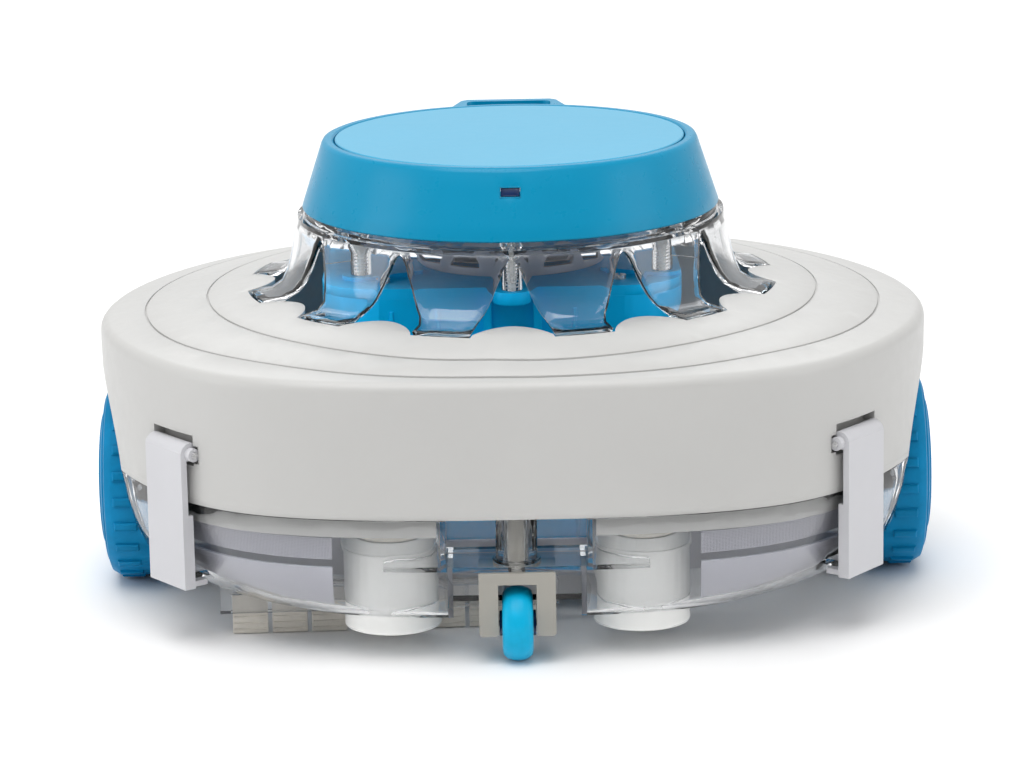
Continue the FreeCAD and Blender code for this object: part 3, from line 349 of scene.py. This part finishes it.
@dataclass(frozen=True)
class WorkedMetal(Finish):
    """Turned or brushed metal with fine tool marks.

    Attributes:
        colour: linear reflection colour.
        roughness: mean roughness.
        stretch: noise scale along each axis, which lays the tool marks.
    """

    colour: Colour
    roughness: float = 0.28
    stretch: tuple[float, float, float] = (0.03, 1.0, 1.0)

    def build(self) -> bpy.types.Material:
        """Make the material."""
        sheet = NodeSheet(self.name)
        lines = sheet.noise(TOOL_MARK_SCALE, 3.0, self.stretch)
        stain = sheet.noise(STAIN_SCALE, 4.0)
        colour = sheet.tint(sheet.ramp(stain, 0.0, 1.0), shade(self.colour, 0.86), self.colour)
        bsdf = sheet.add("ShaderNodeBsdfPrincipled", Metallic=1.0)
        sheet.join(colour, bsdf.inputs["Base Color"])
        sheet.join(sheet.ramp(lines, self.roughness - 0.08, self.roughness + 0.12),
                   bsdf.inputs["Roughness"])
        sheet.join(sheet.bump(lines, 0.3, TOOL_MARK_DEPTH), bsdf.inputs["Normal"])
        return sheet.finish_with(bsdf.outputs["BSDF"])


@dataclass(frozen=True)
class WovenScreen(Finish):
    """Fine woven filter cloth over a moulded band.

    Attributes:
        colour: linear colour of the threads.
        pitch: distance between threads in metres.
    """

    colour: Colour
    pitch: float = 0.0007

    def build(self) -> bpy.types.Material:
        """Make the material."""
        sheet = NodeSheet(self.name)
        threads = []
        for direction in ("X", "Z"):
            wave = sheet.add("ShaderNodeTexWave", Scale=WAVE_PER_THREAD / self.pitch, Distortion=0.3)
            wave.bands_direction = direction
            sheet.join(sheet.coordinates, wave.inputs["Vector"])
            threads.append(wave.outputs["Fac"])
        weave = sheet.tree.nodes.new("ShaderNodeMath")
        weave.operation = "MAXIMUM"
        sheet.join(threads[0], weave.inputs[0])
        sheet.join(threads[1], weave.inputs[1])
        colour = sheet.tint(weave.outputs[0], shade(self.colour, 0.45), shade(self.colour, 1.15))
        bsdf = sheet.add("ShaderNodeBsdfPrincipled", Sheen_Weight=0.2)
        sheet.join(colour, bsdf.inputs["Base Color"])
        sheet.join(sheet.ramp(weave.outputs[0], 0.75, 0.5, 0.0, 1.0), bsdf.inputs["Roughness"])
        sheet.join(sheet.bump(weave.outputs[0], 0.6, WEAVE_DEPTH), bsdf.inputs["Normal"])
        return sheet.finish_with(bsdf.outputs["BSDF"])


WHITE: Colour = (0.50, 0.497, 0.485)
FINISHES: dict[Slot, Finish] = {
    Slot.WHITE_COVER: MouldedPlastic("white_cover", WHITE, 0.42, coat=0.05, mottle=0.015),
    Slot.WHITE_LATCH: MouldedPlastic("white_latch", (0.56, 0.56, 0.585), 0.40, mottle=0.02),
    Slot.CLEAR_SHELL: ClearPlastic("clear_shell", (0.975, 0.98, 0.985), 0.03),
    Slot.CLEAR_SKIRT: ClearPlastic("clear_skirt", (0.985, 0.99, 0.995), 0.02),
    Slot.FROSTED_TUBE: ClearPlastic("frosted_tube", (0.98, 0.98, 0.96), 0.38, clearness=0.25),
    Slot.CAP_BLUE: MouldedPlastic("cap_blue", (0.0, 0.25, 0.44), 0.30, mottle=0.03, shine=0.22,
                                  scuff=0.03),
    Slot.CASE_BLUE: MouldedPlastic("case_blue", (0.0, 0.44, 0.85), 0.42, mottle=0.05, shine=0.15),
    Slot.WHEEL_BLUE: MouldedPlastic("wheel_blue", (0.0, 0.21, 0.44), 0.46, mottle=0.05, shine=0.12),
    Slot.TREAD_BLUE: SoftRubber("tread_blue", (0.0, 0.21, 0.44), 0.5, 0.0, 0.12),
    Slot.CASTER_BLUE: SoftRubber("caster_blue", (0.0, 0.42, 0.70), 0.32, 0.0, 0.2),
    Slot.NAVY: MouldedPlastic("navy", (0.002, 0.02, 0.09), 0.2, coat=0.5, mottle=0.1),
    Slot.TRAY_GREY: MouldedPlastic("tray_grey", (0.50, 0.50, 0.56), 0.5, mottle=0.05),
    Slot.SCREEN_GREY: WovenScreen("screen_grey", (0.40, 0.40, 0.46)),
    Slot.FLAP_RUBBER: SoftRubber("flap_rubber", (0.74, 0.70, 0.63), 0.58, 0.1),
    Slot.STEEL: WorkedMetal("steel", (0.66, 0.66, 0.67)),
    Slot.BRASS_BUSH: WorkedMetal("brass_bush", (0.72, 0.52, 0.22), 0.32),
    Slot.DARK_PLASTIC: MouldedPlastic("dark_plastic", (0.02, 0.022, 0.026), 0.45, mottle=0.15),
    Slot.BOARD: MouldedPlastic("board", (0.01, 0.10, 0.05), 0.3, coat=0.3, mottle=0.15),
    Slot.CELL_WRAP: MouldedPlastic("cell_wrap", (0.02, 0.14, 0.05), 0.28, coat=0.4, mottle=0.08),
}
OWN_FINISHES: dict[str, Finish] = {
    "caster_fork": MouldedPlastic("fork_grey", (0.345, 0.33, 0.295), 0.45, mottle=0.03),
    # Top disc: its lighter blue than the cap's is a painted sheen for the reflection on the top disc; its
    # higher shine and satin roughness give real reflection.
    "cap_disc": MouldedPlastic("cap_disc_blue_painted_sheen", (0.03, 0.36, 0.57), 0.30, mottle=0.02, shine=0.6,
                               scuff=0.012, grain=0.00001),
    "pump_cage": MouldedPlastic("cage_grey", (0.40, 0.42, 0.48), 0.4, mottle=0.04),
    "impeller": MouldedPlastic("impeller_grey", (0.46, 0.47, 0.50), 0.4, mottle=0.04),
    "skirt_screws": MouldedPlastic("screw_white", (0.80, 0.80, 0.79), 0.3, mottle=0.03),
}


class FinishBook:
    """Makes each finish once and puts it on pieces."""

    def __init__(self, finishes: dict[Slot, Finish]) -> None:
        """Build every finish.

        Args:
            finishes: the finish of each slot.
        """
        self.materials = {slot: finish.build() for slot, finish in finishes.items()}
        self.own = {ending: finish.build() for ending, finish in OWN_FINISHES.items()}

    def paint(self, piece: bpy.types.Object, slot: Slot) -> None:
        """Give a piece one finish all over.

        Args:
            piece: mesh or curve object.
            slot: slot whose finish it takes.
        """
        slots = piece.material_slots
        if len(slots) == 0:
            piece.data.materials.append(self.materials[slot])
        for entry in slots:
            entry.material = self.materials[slot]


# ---------------------------------------------------------------- mesh work
Point = tuple[float, float, float]


def mesh_piece(name: str, points: Sequence[Point], faces: Sequence[Sequence[int]],
               smooth: bool = True) -> bpy.types.Object:
    """Object made from points and faces.

    Args:
        name: name of the object.
        points: corners in metres.
        faces: corner numbers of each face.
        smooth: whether the faces are shaded smooth.

    Returns:
        The new object, linked to the scene.
    """
    mesh = bpy.data.meshes.new(name)
    mesh.from_pydata([tuple(p) for p in points], [], [tuple(f) for f in faces])
    mesh.validate()
    mesh.update()
    if smooth:
        mesh.shade_smooth()
    piece = bpy.data.objects.new(name, mesh)
    bpy.context.scene.collection.objects.link(piece)
    return piece


def turned(name: str, profile: Sequence[tuple[float, float]], centre: Vector, axis: Axis,
           steps: int = 96) -> bpy.types.Object:
    """Closed ring turned about an axis.

    Args:
        name: name of the object.
        profile: closed outline as (distance along the axis, radius) in metres.
        centre: point on the axis.
        axis: axis that the ring is round.
        steps: corners round the ring.

    Returns:
        The ring.
    """
    points, faces, count = [], [], len(profile)
    for step in range(steps):
        turn = 2 * math.pi * step / steps
        for along, radius in profile:
            if axis is Axis.X:
                offset = (along, radius * math.cos(turn), radius * math.sin(turn))
            else:
                offset = (radius * math.cos(turn), radius * math.sin(turn), along)
            points.append(tuple(centre[i] + offset[i] for i in range(3)))
    for step in range(steps):
        here, there = step * count, ((step + 1) % steps) * count
        for index in range(count):
            after = (index + 1) % count
            faces.append((here + index, there + index, there + after, here + after))
    return mesh_piece(name, points, faces)


def bead(radius: float, along: float, ring: float, steps: int = 8) -> list[tuple[float, float]]:
    """Round outline of a bead for a turned ring.

    Args:
        radius: radius of the bead.
        along: place along the axis.
        ring: distance from the axis.
        steps: corners of the outline.

    Returns:
        The outline points.
    """
    turns = [2 * math.pi * step / steps for step in range(steps)]
    return [(along + radius * math.cos(t), ring + radius * math.sin(t)) for t in turns]


def swept(name: str, route: Sequence[Vector], radius: float, sides: int = 8,
          closed: bool = False) -> bpy.types.Object:
    """Round rod along a route.

    Args:
        name: name of the object.
        route: points along the middle of the rod.
        radius: radius of the rod.
        sides: corners round the rod.
        closed: whether the last point joins the first.

    Returns:
        The rod.
    """
    count = len(route)
    points, faces = [], []
    for index, place in enumerate(route):
        before = route[(index - 1) % count] if closed or index > 0 else place
        after = route[(index + 1) % count] if closed or index < count - 1 else place
        along = (after - before).normalized()
        helper = Vector((0.0, 0.0, 1.0)) if abs(along.z) < 0.9 else Vector((1.0, 0.0, 0.0))
        across = along.cross(helper).normalized()
        upward = across.cross(along).normalized()
        for side in range(sides):
            turn = 2 * math.pi * side / sides
            points.append(place + across * radius * math.cos(turn) + upward * radius * math.sin(turn))
    for index in range(count if closed else count - 1):
        here, there = index * sides, ((index + 1) % count) * sides
        for side in range(sides):
            after = (side + 1) % sides
            faces.append((here + side, here + after, there + after, there + side))
    if not closed:
        faces.append(tuple(range(sides)))
        faces.append(tuple(reversed(range((count - 1) * sides, count * sides))))
    return mesh_piece(name, points, faces)


def rounded_bar(name: str, low: Sequence[float], high: Sequence[float], edge: float,
                turn: Matrix | None = None) -> bpy.types.Object:
    """Bar with rounded edges.

    Args:
        name: name of the object.
        low: lowest corner.
        high: highest corner.
        edge: radius of the edges.
        turn: placement applied to the corners.

    Returns:
        The bar.
    """
    corners = [(x, y, z) for z in (low[2], high[2]) for y in (low[1], high[1])
               for x in (low[0], high[0])]
    if turn is not None:
        corners = [tuple(turn @ Vector(c)) for c in corners]
    faces = ((0, 2, 3, 1), (4, 5, 7, 6), (0, 1, 5, 4), (2, 6, 7, 3), (0, 4, 6, 2), (1, 3, 7, 5))
    piece = mesh_piece(name, corners, faces)
    rounding = piece.modifiers.new("rounding", "BEVEL")
    rounding.width = edge
    rounding.segments = 3
    rounding.limit_method = "NONE"
    return piece


def centre_of(node: str) -> Vector:
    """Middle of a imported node's box."""
    low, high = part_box(node)
    return (low + high) / 2


@dataclass
class SubAssembly(ABC):
    """Part of the machine that is dressed as one.

    Attributes:
        book: finishes of the machine.
        body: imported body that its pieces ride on.
        made: pieces made so far.
    """

    book: FinishBook
    body: str = "hull"
    made: list[bpy.types.Object] = field(default_factory=list)

    def place(self, piece: bpy.types.Object, slot: Slot, body: str | None = None) -> bpy.types.Object:
        """Paint a new piece and let it ride.

        Args:
            piece: the new piece.
            slot: slot whose finish it takes.
            body: body it rides on, or None for the sub-assembly's own.

        Returns:
            The same piece.
        """
        self.book.paint(piece, slot)
        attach(piece, body or self.body)
        self.made.append(piece)
        return piece

    @abstractmethod
    def build(self) -> None:
        """Make and dress the pieces."""


@dataclass
class PackedNodes(SubAssembly):
    """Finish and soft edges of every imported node.

    Attributes:
        edge: radius given to sharp moulded edges.
        sharp: angle above which an edge is rounded, in degrees.
        merge: distance below which corners are merged.
        plain: nodes whose edges stay as they are.
    """

    edge: float = 0.35 * MM
    sharp: float = 38.0
    merge: float = 0.00001
    plain: tuple[str, ...] = ("filter_screen", "lid_screws", "battery_cells")

    def soften(self, piece: bpy.types.Object, name: str) -> None:
        """Round the sharp edges of a node without changing its mesh data.

        Args:
            piece: the node's object.
            name: name of the node.
        """
        weld = piece.modifiers.new("weld", "WELD")
        weld.merge_threshold = self.merge
        if name not in self.plain:
            rounding = piece.modifiers.new("rounding", "BEVEL")
            rounding.width = self.edge
            rounding.segments = 2
            rounding.limit_method = "ANGLE"
            rounding.angle_limit = math.radians(self.sharp)
            rounding.use_clamp_overlap = True
            rounding.harden_normals = True

    def build(self) -> None:
        """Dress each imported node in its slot's finish."""
        for entry in frame["record"]["subparts"]:
            name = entry["node"]
            piece = frame["nodes"][name]
            self.book.paint(piece, Slot(entry["material_slot"]))
            for ending, material in self.book.own.items():
                if name.endswith(ending):
                    piece.material_slots[0].material = material
            self.soften(piece, name)
            LOG.info("dressed %s as %s", name, entry["material_slot"])


@dataclass
class SkirtScrewThreads(SubAssembly):
    """Visible threads on the long screws in the clear bosses.

    Attributes:
        count: number of screws.
        ring: distance of the screws from the cap's axis.
        crest: radius of the thread's middle line.
        wire: radius of the thread's section.
        pitch: rise of one turn.
        steps_per_turn: corners of the thread in one turn.
        head: space left above the thread for the screw's head.
        tip: space left below the thread at the screw's tip.
    """

    count: int = 6
    ring: float = 84.0 * MM
    crest: float = 1.9 * MM
    wire: float = 0.32 * MM
    pitch: float = 1.6 * MM
    steps_per_turn: int = 14
    head: float = 4.5 * MM
    tip: float = 5.5 * MM

    def build(self) -> None:
        """Wind one thread round each screw."""
        axis = centre_of("cap_disc")
        low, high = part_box("skirt_screws")
        start, end = low.z + self.tip, high.z - self.head
        steps = int((end - start) / self.pitch * self.steps_per_turn)
        for index in range(self.count):
            turn = 2 * math.pi * index / self.count - math.pi / 2
            middle = Vector((axis.x + self.ring * math.cos(turn), axis.y + self.ring * math.sin(turn), 0))
            route = []
            for step in range(steps):
                angle = 2 * math.pi * step / self.steps_per_turn
                route.append(middle + Vector((self.crest * math.cos(angle),
                                              self.crest * math.sin(angle),
                                              start + (end - start) * step / steps)))
            thread = self.place(swept(f"skirt_screw_thread_{index}", route, self.wire, 6), Slot.STEEL)
            thread.material_slots[0].material = self.book.own["skirt_screws"]


@dataclass
class CapDetail(SubAssembly):
    """Frame round the indicator window.

    Attributes:
        frame_width: radius of the frame's wire.
        margin: gap between window and frame.
        proud: how far the frame stands in front of the window.
        slope: how far the cap's wall leans back for its rise.
        sink: share of the window's height by which the frame is set forward.
    """

    frame_width: float = 0.35 * MM
    margin: float = 0.35 * MM
    proud: float = 0.05 * MM
    slope: float = 0.32
    sink: float = 0.1

    def build(self) -> None:
        """Lay a thin bead round the window, following the cap's slope."""
        low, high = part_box("indicator_window")
        out = low.y - self.proud
        rise = high.z - low.z
        corners = ((low.x - self.margin, low.z - self.margin), (high.x + self.margin, low.z - self.margin),
                   (high.x + self.margin, high.z + self.margin), (low.x - self.margin, high.z + self.margin))
        route = []
        for x, z in corners:
            route.append(Vector((x, out + self.slope * (z - low.z) - self.sink * rise, z)))
        self.place(swept("window_frame", route, self.frame_width, 8, True), Slot.CAP_BLUE)


@dataclass
class DriveWheelDetail(SubAssembly):
    """Rings and ribs on the outside of one drive wheel.

    Attributes:
        side: -1 for the left wheel, 1 for the right wheel.
        ribs: number of ribs on the domed face.
        rings: radius of each ring and its depth under the face, in millimetres.
        rib_ends: radius and depth of both ends of a rib, in millimetres.
        ring_wire: radius of a ring's section.
        rib_wire: radius of a rib's section.
    """

    side: int = 1
    ribs: int = 10
    rings: tuple[tuple[float, float], ...] = ((42.2, 3.5), (33.0, 1.4), (17.5, 0.1))
    rib_ends: tuple[tuple[float, float], ...] = ((18.0, 0.15), (32.0, 1.25))
    ring_wire: float = 0.55 * MM
    rib_wire: float = 0.6 * MM

    def build(self) -> None:
        """Make the rings and ribs of the domed face."""
        name = "right" if self.side > 0 else "left"
        self.body = f"{name}_wheel"
        middle = centre_of(f"{name}_wheel_tread")
        low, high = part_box(f"{name}_wheel_disc")
        face = high.x if self.side > 0 else -low.x
        for index, (ring, depth) in enumerate(self.rings):
            along = self.side * (face - depth * MM)
            centre = Vector((0.0, middle.y, middle.z))
            outline = bead(self.ring_wire, along, ring * MM)
            self.place(turned(f"{name}_wheel_ring_{index}", outline, centre, Axis.X),
                       Slot.WHEEL_BLUE)
        for index in range(self.ribs):
            turn = Matrix.Rotation(2 * math.pi * index / self.ribs, 4, "X")
            turn = Matrix.Translation(Vector((0.0, middle.y, middle.z))) @ turn
            ends = []
            for ring, depth in self.rib_ends:
                ends.append(turn @ Vector((self.side * (face - depth * MM), 0.0, ring * MM)))
            self.place(swept(f"{name}_wheel_rib_{index}", ends, self.rib_wire, 8),
                       Slot.WHEEL_BLUE)


@dataclass
class SweeperDetail(SubAssembly):
    """Moulded beads along the slanted row of rubber flaps.

    Attributes:
        beads: heights of the beads above the flaps' foot.
        count: number of flaps.
        gap: space between two flaps.
        thickness: thickness of a flap.
        inset: distance from a bead's end to the flap's edge.
        wire: radius of a bead's section.
    """

    beads: tuple[float, ...] = (2.2 * MM, 5.2 * MM, 8.2 * MM)
    count: int = 8
    gap: float = 2.0 * MM
    thickness: float = 2.4 * MM
    inset: float = 0.8 * MM
    wire: float = 0.3 * MM

    def build(self) -> None:
        """Run three beads along both faces of each flap."""
        low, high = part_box("sweeper_flaps")
        pitch = (high.x - low.x + self.gap) / self.count
        slope = (high.y - low.y - self.thickness) / (high.x - low.x)
        for index in range(self.count):
            left = low.x + index * pitch + self.inset
            right = left + pitch - self.gap - 2 * self.inset
            for level, rise in enumerate(self.beads):
                for face, offset in (("front", 0.0), ("back", self.thickness)):
                    route = [Vector((x, low.y + offset + slope * (x - low.x), low.z + rise))
                             for x in (left, right)]
                    self.place(swept(f"flap_{index}_bead_{face}_{level}", route, self.wire, 6),
                               Slot.FLAP_RUBBER)


@dataclass
class InletDetail(SubAssembly):
    """Foot ring and stiffening ribs of one inlet tube.

    Attributes:
        side: name of the side.
        foot_radius: radius of the foot ring.
        foot_wire: radius of the foot ring's section.
        foot_rise: height of the foot ring above the tube's foot.
        flap_rise: height of the ribs above the flap's underside.
        rib_rings: radii of the flap's ribs.
        rib_wire: radius of a rib's section.
    """

    side: str = "left"
    foot_radius: float = 22.2 * MM
    foot_wire: float = 0.9 * MM
    foot_rise: float = 0.4 * MM
    flap_rise: float = 2.1 * MM
    rib_rings: tuple[float, ...] = (8.0 * MM, 14.0 * MM)
    rib_wire: float = 0.5 * MM

    def build(self) -> None:
        """Make the rounded foot and the flap's ribs."""
        low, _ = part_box(f"{self.side}_inlet_tube")
        middle = centre_of(f"{self.side}_inlet_tube")
        outline = bead(self.foot_wire, low.z + self.foot_rise, self.foot_radius)
        foot = turned(f"{self.side}_inlet_foot", outline, Vector((middle.x, middle.y, 0.0)), Axis.Z)
        self.place(foot, Slot.FROSTED_TUBE)
        flap_low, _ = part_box(f"{self.side}_inlet_flap")
        top = flap_low.z + self.flap_rise
        for ring in self.rib_rings:
            rib = turned(f"{self.side}_flap_rib_{ring * 1000:.0f}", bead(self.rib_wire, top, ring),
                         Vector((middle.x, middle.y, 0.0)), Axis.Z, 48)
            self.place(rib, Slot.FLAP_RUBBER, f"{self.side}_flap")


@dataclass
class PowerUnitDetail(SubAssembly):
    """Ribs and cables of the blue case.

    Attributes:
        rib_count: places for ribs on a wall.
        rib_pitch: distance between the wall's ribs.
        rib_start: distance of the first rib from the case's left end.
        rib_half: half the width and depth of a rib.
        rib_foot: distance of a rib's foot from the case's foot.
        rib_head: distance of a rib's head from the case's top, and of the front wall from its box.
        rib_round: radius of a rib's corners.
        clear_middle: half the width kept free of ribs in the middle.
        cable: radius of the motor cables.
        cable_steps: straight lengths in one cable.
        cable_sag: height of the cable's arch.
        outlet: where a cable leaves its motor: inward, backward and below its top.
        entry: where it enters the case: inside the wall, backward and above the outlet.
    """

    rib_count: int = 5
    rib_pitch: float = 22.0 * MM
    rib_start: float = 34.0 * MM
    rib_half: tuple[float, float] = (1.0 * MM, 0.8 * MM)
    rib_foot: float = 8.0 * MM
    rib_head: float = 6.0 * MM
    rib_round: float = 0.5 * MM
    clear_middle: float = 17.0 * MM
    cable: float = 1.6 * MM
    cable_steps: int = 16
    cable_sag: float = 12.0 * MM
    outlet: Point = (26.0 * MM, 18.0 * MM, 8.0 * MM)
    entry: Point = (1.0 * MM, 6.0 * MM, 28.0 * MM)

    def ribs(self) -> None:
        """Stand upright ribs on the front and back walls."""
        low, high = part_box("power_case")
        wide, deep = self.rib_half
        for index in range(self.rib_count):
            x = low.x + self.rib_start + index * self.rib_pitch
            if abs(x) < self.clear_middle:
                continue
            for face, y in (("front", low.y + self.rib_head), ("back", high.y)):
                bar = rounded_bar(f"case_rib_{face}_{index}",
                                  (x - wide, y - deep, low.z + self.rib_foot),
                                  (x + wide, y + deep, high.z - self.rib_head), self.rib_round)
                self.place(bar, Slot.CASE_BLUE)

    def cables(self) -> None:
        """Lead a cable from each gear motor to the case."""
        low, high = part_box("power_case")
        for side, wall in (("left", low.x), ("right", high.x)):
            motor_low, motor_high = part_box(f"{side}_gear_motor")
            inner = motor_high.x if side == "left" else motor_low.x
            sign = -1 if side == "left" else 1
            y = (motor_low.y + motor_high.y) / 2 + self.outlet[1]
            z = motor_high.z - self.outlet[2]
            start = Vector((inner + sign * self.outlet[0], y, z))
            end = Vector((wall - sign * self.entry[0], y + self.entry[1], z + self.entry[2]))
            route = []
            for step in range(self.cable_steps + 1):
                share = step / self.cable_steps
                place = start.lerp(end, share)
                place.z += self.cable_sag * math.sin(math.pi * share)
                route.append(place)
            self.place(swept(f"{side}_motor_cable", route, self.cable, 8), Slot.DARK_PLASTIC)

    def build(self) -> None:
        """Make the ribs and cables."""
        self.ribs()
        self.cables()


# ---------------------------------------------------------------- studio
@dataclass(frozen=True)
class SoftLight:
    """One square soft light.

    Attributes:
        name: name of the light.
        place: where it hangs.
        target: what it points at.
        size: length of its side.
        power: power in watts.
    """

    name: str
    place: Point
    target: Point
    size: float
    power: float


LIGHTS: tuple[SoftLight, ...] = (
    SoftLight("overhead", (-0.3, -0.9, 2.5), (0.0, 0.0, 0.0), 2.0, 44.0),
    SoftLight("left_softbox", (-1.6, -0.5, 0.55), (0.0, 0.0, 0.1), 0.8, 3.2),
    SoftLight("right_softbox", (1.6, -0.5, 0.55), (0.0, 0.0, 0.1), 0.8, 2.4),
    SoftLight("far_floor", (0.0, 3.0, 2.8), (0.0, 2.6, 0.0), 3.6, 60.0),
)


@dataclass
class Studio:
    """Pale floor, soft lights and the camera.

    Attributes:
        distance: distance of the camera from its aim point.
        elevation: height angle of the camera in degrees.
        roll: tilt of the camera in degrees.
        aim_height: height of the aim point on the cap's axis.
        lens: focal length in millimetres on a 36 mm sensor.
        shift: sideways shift of the view as a share of its width.
        floor_size: half the length of the floor.
        sky: strength of the sky light.
        sky_front: strength of the sky light straight in front of the machine.
        floor_tones: darkest and lightest tone of the floor.
        sky_fades: axis along which the sky brightens, and where that starts and ends.
    """

    distance: float = 2.0
    elevation: float = 13.5
    roll: float = 1.02
    aim_height: float = 0.0985
    lens: float = 140.6
    shift: float = -0.0016
    floor_size: float = 7.0
    sky: float = 0.74
    sky_front: float = 0.22
    floor_tones: tuple[Colour, Colour] = ((0.90, 0.90, 0.90), (0.92, 0.92, 0.92))
    sky_fades: tuple[tuple[str, float, float], ...] = (("Y", -0.95, -0.35), ("Z", 0.25, 0.65))

    def floor(self) -> None:
        """Lay a wide pale floor."""
        size = self.floor_size
        points = [(-size, -size, 0.0), (size, -size, 0.0), (size, size, 0.0), (-size, size, 0.0)]
        piece = mesh_piece("studio_floor", points, [(0, 1, 2, 3)])
        sheet = NodeSheet("studio_floor")
        bsdf = sheet.add("ShaderNodeBsdfPrincipled", Roughness=0.75, Specular_IOR_Level=0.2)
        cloud = sheet.ramp(sheet.noise(1.2, 2.0), 0.0, 1.0)
        sheet.join(sheet.tint(cloud, *self.floor_tones), bsdf.inputs["Base Color"])
        piece.data.materials.append(sheet.finish_with(bsdf.outputs["BSDF"]))

    def lamp(self, plan: SoftLight) -> None:
        """Hang one square soft light."""
        light = bpy.data.lights.new(plan.name, "AREA")
        light.size = plan.size
        light.energy = plan.power
        lamp = bpy.data.objects.new(plan.name, light)
        lamp.location = plan.place
        aim = Vector(plan.target) - Vector(plan.place)
        lamp.rotation_euler = aim.to_track_quat("-Z", "Y").to_euler()
        bpy.context.scene.collection.objects.link(lamp)

    def lights(self) -> None:
        """Hang the soft lights and set the sky."""
        for plan in LIGHTS:
            self.lamp(plan)
        world = bpy.data.worlds.new("studio")
        world.use_nodes = True
        tree = world.node_tree
        background = tree.nodes["Background"]
        background.inputs["Color"].default_value = (1.0, 1.0, 1.0, 1.0)
        heading = tree.nodes.new("ShaderNodeTexCoord")
        parts = tree.nodes.new("ShaderNodeSeparateXYZ")
        tree.links.new(heading.outputs["Generated"], parts.inputs["Vector"])
        brightest = tree.nodes.new("ShaderNodeMath")
        brightest.operation = "MAXIMUM"
        for index, (axis, start, end) in enumerate(self.sky_fades):
            fade = tree.nodes.new("ShaderNodeMapRange")
            for name, value in (("From Min", start), ("From Max", end),
                                ("To Min", self.sky_front), ("To Max", self.sky)):
                fade.inputs[name].default_value = value
            tree.links.new(parts.outputs[axis], fade.inputs["Value"])
            tree.links.new(fade.outputs["Result"], brightest.inputs[index])
        tree.links.new(brightest.outputs["Value"], background.inputs["Strength"])
        bpy.context.scene.world = world
        view = bpy.context.scene.view_settings
        view.view_transform = "Standard"
        view.look = "None"

    def camera(self) -> None:
        """Place the camera in front of the machine, a little above it."""
        axis = centre_of("cap_disc")
        aim = Vector((axis.x, axis.y, self.aim_height))
        rise = math.radians(self.elevation)
        back = Vector((0.0, -math.cos(rise), math.sin(rise)))
        data = bpy.data.cameras.new("camera")
        data.lens = self.lens
        data.sensor_width = 36.0
        data.shift_x = self.shift
        data.clip_start, data.clip_end = 0.05, 50.0
        camera = bpy.data.objects.new("camera", data)
        look = (-back).to_track_quat("-Z", "Y").to_matrix().to_4x4()
        tilt = Matrix.Rotation(-math.radians(self.roll), 4, "Z")
        camera.matrix_world = Matrix.Translation(aim + back * self.distance) @ look @ tilt
        bpy.context.scene.collection.objects.link(camera)
        bpy.context.scene.camera = camera

    def build(self) -> None:
        """Set the whole studio."""
        self.floor()
        self.lights()
        self.camera()


def main() -> None:
    """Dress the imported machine, add its fine pieces and set the studio."""
    logging.basicConfig(level=logging.INFO, format="%(name)s: %(message)s")
    book = FinishBook(FINISHES)
    assemblies: list[SubAssembly] = [
        PackedNodes(book),
        SkirtScrewThreads(book),
        CapDetail(book),
        DriveWheelDetail(book, side=-1),
        DriveWheelDetail(book, side=1),
        SweeperDetail(book),
        InletDetail(book, side="left"),
        InletDetail(book, side="right"),
        PowerUnitDetail(book),
    ]
    for assembly in assemblies:
        assembly.build()
        LOG.info("%s made %d pieces", type(assembly).__name__, len(assembly.made))
    Studio().build()


if __name__ == "__main__":
    main()
